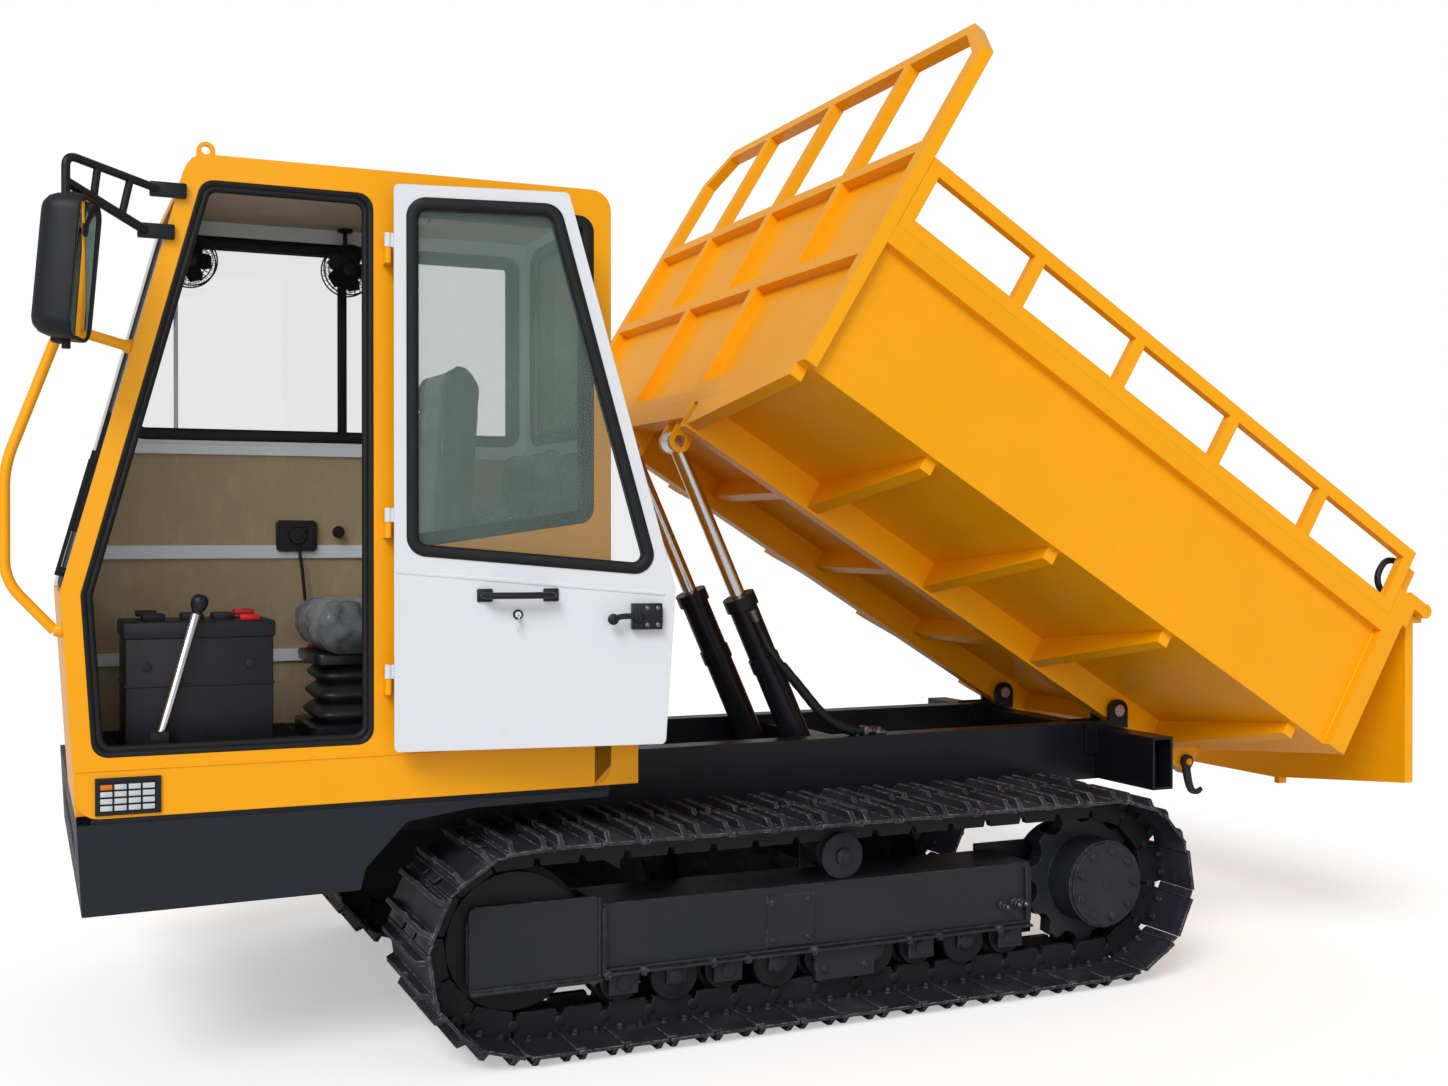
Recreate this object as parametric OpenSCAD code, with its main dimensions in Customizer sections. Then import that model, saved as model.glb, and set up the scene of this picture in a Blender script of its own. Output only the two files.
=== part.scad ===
// Tracked dump carrier with a narrow cab on its left: a tipping bed raised by two hydraulic cylinders
// stands on a ladder chassis with a steel crawler track on each side. Lengths are in millimetres.
// The front is -X, the left side -Y, and the ground under the middle of the machine is the origin.
// It stands with the bed tipped, the tailgate hanging and the cab door swung back.

/* [Chassis] */
// Height of a main beam
beam_h = 190; // [170:5:210]
// Width of a main beam
beam_w = 80; // [70:2:90]
// Distance from the centre line to a beam's outer face
beam_y = 387; // [375:1:400]
// Height of the beams' top face above the ground
beam_top = 745; // [735:1:770]
// Wall of the rectangular tubes
tube_wall = 8; // [5:1:12]
// Height of the bed hinge above the beams
hinge_rise = 40; // [38:1:60]
// Radius of the bed hinge pins
hinge_r = 20; // [16:1:22]
// Thickness of a hinge lug
lug_t = 15; // [10:1:20]
// Length of the rear cross tube
tail_tube_l = 1400; // [1200:10:1600]
// Height of the rear cross tube
tail_tube_h = 170; // [140:5:180]

/* [Tracks] */
// Distance between the two tracks' centre lines
track_gauge = 1320; // [1310:5:1360]
// Width of a track shoe
shoe_w = 466; // [420:2:480]
// Pitch of the track chain
link_pitch = 130; // [126:1:134]
// Links in one track
link_count = 40; // [39:1:41]
// Teeth on a drive sprocket
teeth = 11; // [11:1:12]
// Height of a chain link
link_h = 70; // [60:1:76]
// Thickness of a shoe plate
shoe_t = 9; // [7:1:12]
// Height of a grouser bar
grouser_h = 26; // [18:1:32]
// Radius of a chain bushing
bush_r = 19; // [15:1:21]
// Half the distance between the two rails of a chain
rail_in = 50; // [46:1:54]
// Thickness of a chain rail
rail_t = 24; // [18:1:28]
// Tread radius of a road roller
road_r = 58; // [52:1:60]
// Tread radius of the carrier roller
carrier_r = 42; // [34:1:44]
// Distance from the bed hinge forward to the sprocket shaft
sprocket_fwd = 359; // [345:1:400]

/* [Cab] */
// Width of the cab
cab_w = 700; // [670:2:740]
// Distance from the machine's centre line to the cab's left side
cab_left = 759; // [745:1:775]
// Height of the roof above the ground
roof_z = 2324; // [2280:2:2380]
// Height of the sill's lower edge
sill_z = 705; // [690:1:715]
// Height of the cab floor
floor_z = 840; // [820:2:860]
// Length from the rear wall to the foremost point of the nose
cab_len = 1390; // [1340:5:1440]
// Height of that point
knee_z = 1250; // [1200:5:1300]
// Length of the roof
roof_len = 1095; // [1060:5:1130]
// Length of the cab along its sill
sill_len = 1355; // [1320:5:1370]
// Thickness of the cab walls
cab_wall = 40; // [34:1:46]
// Width of the posts round the door opening
post_w = 45; // [38:1:52]
// Distance from the rear wall to the middle of the door post
door_post = 600; // [580:2:620]
// Space between the cab and the bed
cab_gap = 126; // [120:1:140]
// Height of the hood beside the cab
hood_z = 1540; // [1480:5:1580]
// Lowest edge of the skirt
skirt_z = 470; // [450:2:490]

/* [Door] */
// Angle at which the door stands open
door_open = 170; // [120:1:172]
// Thickness of the door
door_t = 34; // [28:1:40]
// Overlap of the door on its frame
door_lap = 14; // [10:1:18]
// Width of the door's window frame
door_rim = 46; // [38:1:60]

/* [Bed] */
// Overall width of the bed
bed_w = 2024; // [1980:2:2060]
// Length of the bed in front of its hinge
bed_front = 1850; // [1830:5:1900]
// Length of the bed behind its hinge
bed_rear = 400; // [380:5:420]
// Tipping angle of the bed
tilt = 31.5; // [20:0.5:32]
// Thickness of the bed sheets
sheet = 5; // [4:0.5:8]
// Width of a bed beam
bed_beam_w = 56; // [50:1:60]
// Height of a bed beam
bed_beam_h = 100; // [90:1:110]
// Rise of the outer floor from a bed beam to the side
floor_rise = 68; // [50:1:90]
// Height of the bed sides above the outer floor
side_h = 480; // [440:5:520]
// Height of the fence on the sides
fence_h = 230; // [200:5:260]
// Height of the guard above the front wall
guard_h = 500; // [450:5:540]
// Size of the guard and fence tubes
rail_w = 40; // [30:1:46]

/* [Hoist] */
// Distance from the centre line to a cylinder
hoist_y = 200; // [190:1:210]
// Outer radius of a barrel
barrel_r = 46; // [42:1:50]
// Radius of a piston rod
rod_r = 25; // [22:1:28]
// Radius of the hoist pins
hoist_pin_r = 18; // [15:1:20]
// Distance from the bed hinge forward to the lower hoist pins
base_fwd = 1077; // [1060:1:1100]
// Depth of the lower hoist pins below the bed hinge
base_drop = 185; // [175:1:195]
// Distance from the bed hinge forward to the upper hoist pins
eye_fwd = 1800; // [1780:1:1805]
// Depth of the upper hoist pins below the bed hinge
eye_drop = 52; // [50:1:60]

/* [Clearances] */
// Radial clearance of a running shaft
fit = 0.05; // [0.02:0.01:0.1]
// Clearance between pieces that pass each other
gap = 1; // [0.5:0.1:2]

/* [Hidden] */
$fn = 48;
SIDES = ["left", "right"];
ROLLERS = [1 : 5];

// Colours of the paints and materials
paint = "orange";
charcoal = [0.16, 0.17, 0.19];
steel = [0.45, 0.43, 0.4];
bright = [0.8, 0.8, 0.82];
lining = [0.5, 0.44, 0.35];
white = [0.9, 0.9, 0.92];
rubber = [0.08, 0.08, 0.09];
glass = [0.6, 0.75, 0.78, 0.35];

// A point of the XZ plane turned about the Y axis, front up for positive angles
function turned(p, a) = [p[0] * cos(a) + p[1] * sin(a), p[1] * cos(a) - p[0] * sin(a)];
function unit(v) = v / norm(v);
function wrap(list, i) = list[(i + len(list)) % len(list)];
// Outline moved inwards by d, for points listed anticlockwise
function inset(pts, d) = [
    for (i = [0 : len(pts) - 1])
        let (a = unit(pts[i] - wrap(pts, i - 1)), b = unit(wrap(pts, i + 1) - pts[i]),
            na = [-a[1], a[0]], nb = [-b[1], b[0]])
        pts[i] + d * (na + nb) / (1 + na * nb)];
// Outline with each corner replaced by an arc of radius r
function rounded(pts, r, steps = 5) = [
    for (i = [0 : len(pts) - 1])
        let (p = pts[i], u = unit(wrap(pts, i - 1) - p), v = unit(wrap(pts, i + 1) - p),
            half = acos(u * v) / 2, c = p + unit(u + v) * r / sin(half),
            from = p + u * r / tan(half) - c, to = p + v * r / tan(half) - c,
            a0 = atan2(from[1], from[0]),
            turn = atan2(from[0] * to[1] - from[1] * to[0], from * to))
        for (k = [0 : steps]) c + r * [cos(a0 + turn * k / steps), sin(a0 + turn * k / steps)]];
function mirrored(half) = concat(half, [for (i = [len(half) - 1 : -1 : 0]) [-half[i][0], half[i][1]]]);

// Bed in its own frame: the hinge is the origin and the floor is level
hinge_z = beam_top + hinge_rise;
bed_beam_y = beam_y - beam_w / 2;
bed_beam_low = gap - hinge_rise;
floor_low = bed_beam_low + bed_beam_h;
floor_kink = bed_beam_y + bed_beam_w / 2;
side_y = bed_w / 2 - 30;
side_low = floor_low + floor_rise;
side_top = side_low + side_h;
fence_top = side_top + fence_h;
guard_top = fence_top + guard_h;
tub_front = rail_w - bed_front;
flange_h = 62;
gate_boss_r = 24;
gate_pin_r = 12;
gate_x = bed_rear + 67;
gate_z = side_top + 90;
gate_front = 52;

// Places along the machine, worked out so that the origin is under its middle
rail_r = 13;
rail_out = 120;
rear_reach = turned([gate_x, gate_z], tilt)[0] + gate_boss_r;
front_reach = bed_front + cab_gap + cab_len + rail_out + rail_r;
hinge_x = (front_reach - rear_reach) / 2;
cab_rear = hinge_x - bed_front - cab_gap;
knee_x = cab_rear - cab_len;
roof_x = cab_rear - roof_len;
sill_x = cab_rear - sill_len;
beam_front = sill_x + 110;
beam_low = beam_top - beam_h;
beam_in = beam_y - beam_w;
beam_end = hinge_x - 12;
function front_at(z) = knee_x + (roof_x - knee_x) * (z - knee_z) / (roof_z - knee_z);
function nose_at(z) = knee_x + (sill_x - knee_x) * (knee_z - z) / (knee_z - sill_z);

// Track: the pitch line runs round two circles of the sprocket's pitch radius
track_y = track_gauge / 2;
step = 360 / teeth;
pitch_r = link_pitch / 2 / sin(step / 2);
run_links = (link_count - teeth) / 2;
ground_pitch = grouser_h + shoe_t + link_h / 2;
axle_z = ground_pitch + pitch_r;
sprocket_x = hinge_x - sprocket_fwd;
idler_x = sprocket_x - run_links * link_pitch;
rail_out_y = rail_in + rail_t;
idler_r = pitch_r * cos(step / 2) - link_h / 2 - gap;
tooth_tip = pitch_r - bush_r - gap - 1;
tooth_root = tooth_tip - 32;
flange_y = rail_in - 5;
wall_in = rail_out_y + 24;
wall_out = wall_in + 12;
cover_out = wall_out + 12;
frame_top = 385;
frame_low = 190;
roller_z = ground_pitch + link_h / 2 + road_r + gap;
roller_flange = road_r + link_h / 2 - bush_r - 3;
road_axle_r = 20;
road_xs = [for (i = ROLLERS) idler_x + 300 + (i - 1) * (sprocket_x - idler_x - 630) / 4];
carrier_x = (idler_x + sprocket_x) / 2 + 40;
carrier_z = axle_z + pitch_r - link_h / 2 - carrier_r - gap;
carrier_flange = carrier_r + link_h / 2 - bush_r - 3;
carrier_disc = carrier_z - frame_top - 2 * gap;
carrier_axle_r = 18;
idler_axle_r = 28;
spindle_r = 60;
hub_r = 135;
leg_xs = [idler_x + 520, sprocket_x - 560];
leg_w = 120;
leg_low = 262;
leg_top = 372;

// Hoist: the cylinders lean from the chassis to the front of the bed
base_x = hinge_x - base_fwd;
base_z = hinge_z - base_drop;
function eye_at(a) = [hinge_x, hinge_z] + turned([-eye_fwd, -eye_drop], a);
function hoist_length(a) = norm(eye_at(a) - [base_x, base_z]);
hoist_angle = atan2(eye_at(tilt)[1] - base_z, eye_at(tilt)[0] - base_x);
hoist_len = hoist_length(tilt);
hoist_eye_r = 36;
eye_w = 56;
eye_lug_t = 12;
eye_lug_in = eye_w / 2 + 6;
barrel_start = hoist_eye_r + 4;
bore_start = barrel_start + 12;
barrel_len = hoist_length(0) - hoist_eye_r - 50;
gland_l = 42;
piston_l = 22;
rod_len = hoist_length(0) - bore_start - 8;

// Cab outlines, seen from the left with the front at -X
cab_side = [[sill_x, sill_z], [cab_rear, sill_z], [cab_rear, roof_z], [roof_x, roof_z], [knee_x, knee_z]];
cab_near = -cab_left;
cab_far = cab_w - cab_left;
in_near = cab_near + cab_wall;
in_far = cab_far - cab_wall;
cab_mid = (cab_near + cab_far) / 2;
wall_low = beam_top + gap;
far_side = [[nose_at(wall_low), wall_low], [cab_rear, wall_low], [cab_rear, roof_z], [roof_x, roof_z],
    [knee_x, knee_z]];
roof_t = 35;
corner_r = 55;
door_low = floor_z - 34;
door_back = cab_rear - door_post;
door_bay = [[nose_at(door_low), door_low], [door_back, door_low], [door_back, roof_z - 17],
    [front_at(roof_z - 17), roof_z - 17], [knee_x, knee_z]];
door_gap = rounded(inset(door_bay, post_w), 40);
quarter_window = rounded([[door_back + post_w, knee_z + 115], [cab_rear - 62, knee_z + 185],
    [cab_rear - 62, roof_z - 85], [door_back + post_w, roof_z - 85]], 30);
right_sill = 1625;
right_window = rounded(inset([[front_at(right_sill) + 35, right_sill], [cab_rear - 30, right_sill],
    [cab_rear - 30, roof_z - 50], [front_at(roof_z - 50) + 35, roof_z - 50]], post_w), 30);
rear_window = rounded(inset([[in_near + 15, right_sill], [in_far - 15, right_sill],
    [in_far - 15, roof_z - 40], [in_near + 15, roof_z - 40]], post_w), 40);
header_z = roof_z - 95;
laid = 0.2;
ceiling_z = roof_z - roof_t - laid;
seal_w = 16;
hinge_pin_r = 5;
hinge_barrel_r = 9;
door_edge = door_back - post_w + door_lap;
door_pivot = [door_edge + 14, cab_near - gap - door_t - 4];
door_face = cab_left + gap;
door_hinge_zs = [1020, 1420, 2120];
latch_z = 1175;

// Basic shapes
module block(a, b) translate(a) cube(b - a);
module tube_x(a, b, t) {
    difference() {
        block(a, b);
        block([a[0] - 1, a[1] + t, a[2] + t], [b[0] + 1, b[1] - t, b[2] - t]);
    }
}
module tube_y(a, b, t) {
    difference() {
        block(a, b);
        block([a[0] + t, a[1] - 1, a[2] + t], [b[0] - t, b[1] + 1, b[2] - t]);
    }
}
// Outline of the XZ plane as a plate between two Y values
module plate_y(pts, y0, y1) translate([0, y1, 0]) rotate([90, 0, 0]) linear_extrude(y1 - y0) polygon(pts);
// Outline of the YZ plane as a plate between two X values
module plate_x(pts, x0, x1) translate([x0, 0, 0]) rotate([90, 0, 90]) linear_extrude(x1 - x0) polygon(pts);
// Round bar along Y at a point of the XZ plane
module bar_y(p, r, y0, y1) translate([p[0], y0, p[1]]) rotate([-90, 0, 0]) cylinder(r = r, h = y1 - y0);
module bar_x(p, r, x0, x1) translate([x0, p[0], p[1]]) rotate([0, 90, 0]) cylinder(r = r, h = x1 - x0);
module bar(p, q, r) {
    d = q - p;
    translate(p) rotate([0, acos(d[2] / norm(d)), atan2(d[1], d[0])]) cylinder(r = r, h = norm(d));
}
module bent_bar(pts, r) {
    for (i = [0 : len(pts) - 2]) bar(pts[i], pts[i + 1], r);
    for (i = [1 : len(pts) - 2]) translate(pts[i]) sphere(r + 0.3);
}
// Route with its inner corners eased into curves that start a length t before them
function eased(pts, t, steps = 5) = [
    pts[0],
    for (i = [1 : len(pts) - 2])
        let (p = pts[i], a = p + t * unit(pts[i - 1] - p), b = p + t * unit(pts[i + 1] - p))
        for (k = [0 : steps]) let (u = k / steps) (1 - u) * (1 - u) * a + 2 * u * (1 - u) * p + u * u * b,
    pts[len(pts) - 1]];
// Tube with flat facets along a route that never runs along Y
module swept_tube(route, r, sides) {
    n = len(route);
    rings = [for (i = [0 : n - 1]) let (d = unit(route[min(i + 1, n - 1)] - route[max(i - 1, 0)]),
        u = unit(cross(d, [0, 1, 0])), v = cross(d, u))
        for (k = [0 : sides - 1]) route[i] + r * (u * cos(k * 360 / sides) + v * sin(k * 360 / sides))];
    skin = [for (i = [0 : n - 2]) for (k = [0 : sides - 1])
        let (a = i * sides + k, b = i * sides + (k + 1) % sides)
        each [[a, b + sides, b], [a, a + sides, b + sides]]];
    ends = [[for (k = [0 : sides - 1]) k], [for (k = [sides - 1 : -1 : 0]) (n - 1) * sides + k]];
    polyhedron(rings, concat(skin, ends));
}
// Body turned about its own Y axis from a half outline of radius and Y
module turned_y(outline) rotate([-90, 0, 0]) rotate_extrude() polygon(outline);
// Pad with round edges, drawn-in sides and a crowned face
module pad(size, r, crown) {
    hull() {
        for (x = [r, size[0] - r]) for (y = [r - size[1] / 2, size[1] / 2 - r]) {
            translate([x, y, size[2] - r]) sphere(r, $fn = 20);
            translate([x + sign(size[0] / 2 - x) * crown, y - sign(y) * crown, r]) sphere(r, $fn = 20);
        }
        translate([size[0] / 2, 0, size[2]]) scale([min(crown / 10, size[0] / 260), crown / 10, crown / 10])
            cylinder(r1 = 100, r2 = 60, h = 10, $fn = 32);
    }
}
module both_sides() {
    children();
    mirror([0, 1, 0]) children();
}
// One track's own frame: its centre line is the XZ plane and +Y points outwards
module on_track(side) {
    mirror([0, side == "left" ? 1 : 0, 0]) translate([0, track_y, 0]) children();
}
module bed_pose() translate([hinge_x, 0, hinge_z]) rotate([0, tilt, 0]) children();
module gate_pose() {
    p = turned([gate_x, gate_z], tilt);
    translate([hinge_x + p[0], 0, hinge_z + p[1]]) children();
}
module hoist_pose() translate([base_x, 0, base_z]) rotate([0, -hoist_angle, 0]) children();
module door_pose() {
    translate(door_pivot) rotate([0, 0, door_open]) translate(-door_pivot) children();
}

// Track pin k, as a point of the XZ plane
function pin_at(k) =
    k <= run_links ? [idler_x + k * link_pitch, ground_pitch] :
    k <= run_links + teeth / 2 ? let (a = (k - run_links) * step)
        [sprocket_x + pitch_r * sin(a), axle_z - pitch_r * cos(a)] :
    k <= 2 * run_links + teeth / 2 ?
        [sprocket_x - (k - run_links - teeth / 2) * link_pitch, axle_z + pitch_r] :
    let (a = (k - 2 * run_links - teeth / 2) * step)
        [idler_x - pitch_r * sin(a), axle_z + pitch_r * cos(a)];
// Frame of link k: +X along the chain, -Z towards the outside of the loop
module at_link(k) {
    p = pin_at(k);
    q = pin_at(k + 1);
    translate([(p[0] + q[0]) / 2, 0, (p[1] + q[1]) / 2])
        rotate([0, -atan2(q[1] - p[1], q[0] - p[0]), 0]) children();
}
module track_shoes(side) color(steel) on_track(side) {
    length = link_pitch - 6;
    low = -link_h / 2 - shoe_t;
    bar_t = 14;
    half = shoe_w / 2;
    bar_outline = mirrored([[half, low + 1], [half - 6, low], [half - 34, low - grouser_h],
        [22, low - grouser_h], [12, low - grouser_h / 2]]);
    for (k = [0 : link_count - 1]) at_link(k) {
        block([-length / 2, -half, low], [length / 2, half, -link_h / 2]);
        for (x = [-length / 2 + 12, length / 2 - 12 - bar_t]) plate_x(bar_outline, x, x + bar_t);
    }
}
module track_chain(side) color(steel * 0.7) on_track(side) {
    half = link_pitch / 2 - 1.5;
    inner = half - link_h / 2 * tan(step / 2) - 1.5;
    rail = [[-half, link_h / -2], [half, link_h / -2], [half, -4], [inner, link_h / 2], [-inner, link_h / 2],
        [-half, -4]];
    for (k = [0 : link_count - 1]) {
        at_link(k) for (y = [-rail_out_y, rail_in]) plate_y(rail, y, y + rail_t);
        bar_y(pin_at(k), bush_r, -rail_in - 2, rail_in + 2);
    }
}
module sprocket(side) color(charcoal) on_track(side) translate([sprocket_x, 0, axle_z]) {
    tooth = [for (k = [0 : teeth - 1]) for (c = [[-0.34, tooth_root], [-0.13, tooth_tip], [0.13, tooth_tip],
        [0.34, tooth_root]]) let (a = (k + c[0]) * step) c[1] * [sin(a), -cos(a)]];
    difference() {
        union() {
            plate_y(tooth, -28, 28);
            bar_y([0, 0], hub_r, 20, 140);
            bar_y([0, 0], hub_r - 7, 139, 150);
            for (k = [0 : 8]) bar_y(hub_r * 0.76 * [cos(k * 40), sin(k * 40)], 9, 149, 158);
        }
        bar_y([0, 0], spindle_r + fit, -40, 110);
    }
}
module final_drives() color(charcoal) for (side = SIDES) on_track(side) translate([sprocket_x, 0, axle_z]) {
    bar_y([0, 0], 120, -wall_out, -30 - gap);
    bar_y([0, 0], spindle_r, -40, 108);
    bar_y([0, 0], 76, -wall_out - 100, -wall_out + 1);
}
module idler(side) color(steel) on_track(side) translate([idler_x, 0, axle_z]) {
    turned_y([[idler_axle_r + fit, -wall_in + gap], [52, -wall_in + gap], [52, -rail_out_y - 8],
        [idler_r - 40, -rail_out_y - 4], [idler_r, -rail_out_y], [idler_r, -flange_y],
        [idler_r + 18, -flange_y + 8], [idler_r + 18, flange_y - 8], [idler_r, flange_y],
        [idler_r, rail_out_y], [idler_r - 40, rail_out_y + 4], [52, rail_out_y + 8],
        [52, wall_in - gap], [idler_axle_r + fit, wall_in - gap]]);
}
module road_roller(side, i) color(steel) on_track(side) translate([road_xs[i - 1], 0, roller_z]) {
    turned_y([[road_axle_r + fit, -wall_in + gap], [34, -wall_in + gap], [34, -rail_out_y - 10],
        [road_r, -rail_out_y - 8], [road_r, -flange_y], [roller_flange, -flange_y + 6],
        [roller_flange, flange_y - 6], [road_r, flange_y], [road_r, rail_out_y + 8],
        [34, rail_out_y + 10], [34, wall_in - gap], [road_axle_r + fit, wall_in - gap]]);
}
module carrier_roller(side) color(charcoal) on_track(side) translate([carrier_x, 0, carrier_z]) {
    turned_y([[carrier_axle_r + fit, -wall_in + gap], [30, -wall_in + gap], [30, -rail_out_y - 8],
        [carrier_r, -rail_out_y - 8], [carrier_r, -flange_y], [carrier_flange, -flange_y + 4],
        [carrier_flange, flange_y - 4], [carrier_r, flange_y], [carrier_r, rail_out_y + 8],
        [carrier_disc, rail_out_y + 12], [carrier_disc, wall_in], [26, wall_in + 6],
        [carrier_axle_r + fit, wall_in + 6]]);
}
// Side frame of a track: a box beam with the idler fork in front and the drive plate behind
module track_frame(side) color(charcoal) on_track(side) {
    fork_x = idler_x - 140;
    box_x = idler_x + idler_r + 45;
    box_end = sprocket_x - tooth_tip - 45;
    cheek = rounded([[fork_x, frame_low], [box_end, frame_low], [box_end, frame_top],
        [fork_x, frame_top]], 25);
    cover = rounded([[fork_x + 5, frame_low - 10], [box_x, frame_low - 10], [box_x, frame_top + 25],
        [fork_x + 5, frame_top + 25]], 20);
    for (y = [-wall_out, wall_in]) {
        plate_y(cheek, y, y + wall_out - wall_in);
        for (x = road_xs) block([x - 42, y, roller_z - 32], [x + 42, y + wall_out - wall_in, frame_low + 20]);
    }
    plate_y(cover, wall_out, cover_out);
    block([box_x, -wall_in - 1, frame_top - 12], [box_end, wall_in + 1, frame_top]);
    block([box_x, -wall_in - 1, roller_z + roller_flange + 12],
        [box_end, wall_in + 1, roller_z + roller_flange + 20]);
    bar_y([idler_x, axle_z], idler_axle_r, -wall_out, wall_out + 1);
    for (x = road_xs) bar_y([x, roller_z], road_axle_r, -wall_out - 4, wall_out + 6);
    // Guide guard below the middle of the frame and the inspection cover above it
    block([carrier_x - 95, wall_in, roller_z - 60], [carrier_x + 95, wall_out + 6, frame_low + 10]);
    block([carrier_x - 250, wall_out - 1, frame_low + 25], [carrier_x - 100, wall_out + 5, frame_top - 25]);
    // Carrier roller's bracket and axle
    block([carrier_x - 42, -wall_out, frame_top - 30], [carrier_x + 42, -wall_in, carrier_z + 30]);
    bar_y([carrier_x, carrier_z], carrier_axle_r, -wall_in - 1, wall_in + 5);
    // Drive plate on the inner side, with the motor's opening
    difference() {
        union() {
            block([box_end - 60, -wall_out - 14, frame_low], [sprocket_x, -wall_out, frame_top + 20]);
            bar_y([sprocket_x, axle_z], 160, -wall_out - 14, -wall_out);
        }
        bar_y([sprocket_x, axle_z], 77, -wall_out - 15, -wall_out + 1);
    }
}

module chassis_frame() color(charcoal) {
    both_sides() tube_x([beam_front, beam_in, beam_low], [beam_end, beam_y, beam_top], tube_wall);
    // Cross tubes: front, under the cab's rear wall and behind the hoist
    for (x = [beam_front, cab_rear - 30, base_x + 58])
        tube_y([x, -beam_in - 1, beam_low + 10], [x + 70, beam_in + 1, beam_top - 30], tube_wall);
    // Rear cross tube
    tube_y([beam_end - 82, -tail_tube_l / 2, beam_top - 15 - tail_tube_h],
        [beam_end - 2, tail_tube_l / 2, beam_top - 15], tube_wall);
    // Legs that carry the tracks
    for (x = leg_xs) {
        tube_y([x - leg_w / 2, -track_y + wall_out, leg_low], [x + leg_w / 2, track_y - wall_out, leg_top],
            tube_wall);
        both_sides() {
            block([x - leg_w / 2, beam_in, leg_top - 1], [x + leg_w / 2, beam_y, beam_low + 1]);
            for (g = [-leg_w / 2, leg_w / 2 - 12]) plate_x([[beam_y - 1, leg_top - 1],
                [beam_y + 150, leg_top - 1], [beam_y - 1, beam_low - 10]], x + g, x + g + 12);
        }
    }
    // Bed hinge lugs
    both_sides() for (y = [beam_in - lug_t, beam_y]) difference() {
        union() {
            block([hinge_x - 140, y, beam_top - 100], [hinge_x + 8, y + lug_t, beam_top + 5]);
            bar_y([hinge_x, hinge_z], hinge_r + 18, y, y + lug_t);
            block([hinge_x - 38, y, beam_top - 20], [hinge_x + 38, y + lug_t, hinge_z]);
        }
        bar_y([hinge_x, hinge_z], hinge_r + fit, y - 1, y + lug_t + 1);
    }
    // Lower hoist lugs on the cross tube
    both_sides() for (y = [hoist_y - eye_lug_in - eye_lug_t, hoist_y + eye_lug_in]) difference() {
        union() {
            bar_y([base_x, base_z], hoist_eye_r, y, y + eye_lug_t);
            block([base_x, y, base_z - hoist_eye_r], [base_x + 59, y + eye_lug_t, base_z + hoist_eye_r]);
        }
        bar_y([base_x, base_z], hoist_pin_r + fit, y - 1, y + eye_lug_t + 1);
    }
}
module pivot_pins() color(bright) both_sides() {
    bar_y([hinge_x, hinge_z], hinge_r, beam_in - lug_t - 6, beam_y + lug_t + 6);
    bar_y([base_x, base_z], hoist_pin_r, hoist_y - eye_lug_in - eye_lug_t - 5,
        hoist_y + eye_lug_in + eye_lug_t + 5);
}

// Cab floor on a bearer over the left beam and on cross bearers, with the drive lever's bracket
lever_x = cab_rear - 1162;
lever_y = in_near + 35;
lever_r = 11.5;
lever_pin_r = 8;
lever_lean = 16;
bearer_xs = [sill_x + 240, sill_x + 700, cab_rear - 160];
bearer_z = beam_top + 32;
bearer_w = 60;
module cab_floor() color(charcoal) {
    block([sill_x + 60, -beam_y, beam_top], [cab_rear - 50, -beam_in, floor_z - 6]);
    for (x = bearer_xs) block([x, in_near + laid, bearer_z], [x + bearer_w, in_far - laid, floor_z - 5]);
    block([nose_at(floor_z) + cab_wall + gap, in_near + laid, floor_z - 6],
        [cab_rear - cab_wall - laid, in_far - laid, floor_z]);
    for (y = [lever_y - 24, lever_y + 14])
        block([lever_x - 22, y, floor_z - 1], [lever_x + 22, y + 10, floor_z + 62]);
    bar_y([lever_x, floor_z + 40], lever_pin_r, lever_y - 20, lever_y + 20);
}
eye_plate = 14;
eye_x = roof_x + 42;
eye_ys = [in_near - 4 - eye_plate, in_far + 4];
module cab_shell() color(paint) {
    shell = rounded(cab_side, corner_r);
    difference() {
        union() {
            plate_y(shell, cab_near, in_near);
            plate_y(rounded(far_side, corner_r), in_far, cab_far);
        }
        plate_y(door_gap, cab_near - 1, in_near + 1);
        plate_y(quarter_window, cab_near - 1, in_near + 1);
        plate_y(right_window, in_far - 1, cab_far + 1);
    }
    difference() {
        block([cab_rear - cab_wall, in_near - 1, wall_low], [cab_rear, in_far + 1, roof_z - 20]);
        plate_x(rear_window, cab_rear - cab_wall - 1, cab_rear + 1);
    }
    plate_y([[sill_x, sill_z], [sill_x + cab_wall, sill_z], [knee_x + cab_wall, knee_z], [knee_x, knee_z]],
        in_near - 1, in_far + 1);
    plate_y([[front_at(header_z), header_z], [front_at(header_z) + cab_wall, header_z],
        [front_at(roof_z) + cab_wall, roof_z - 2], [front_at(roof_z - corner_r), roof_z - corner_r]],
        in_near - 1, in_far + 1);
    block([roof_x + 10, in_near - 1, roof_z - roof_t], [cab_rear - 20, in_far + 1, roof_z - 2]);
    // Lifting eyes on the roof's front corners
    for (y = eye_ys) difference() {
        union() {
            bar_y([eye_x, roof_z + 14], 22, y, y + eye_plate);
            block([eye_x - 22, y, roof_z - 12], [eye_x + 22, y + eye_plate, roof_z + 14]);
        }
        bar_y([eye_x, roof_z + 16], 11, y - 4, y + eye_plate + 4);
    }
    // Door hinge leaves and pins
    for (z = door_hinge_zs) {
        block([door_pivot[0] - 5, door_pivot[1] + hinge_barrel_r - 2, z - 40],
            [door_pivot[0] + 14, cab_near + 1, z]);
        translate([door_pivot[0], door_pivot[1], z - 40]) cylinder(r = hinge_barrel_r, h = 40);
        translate([door_pivot[0], door_pivot[1], z - 1]) cylinder(r = hinge_pin_r, h = 41);
    }
}
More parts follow.
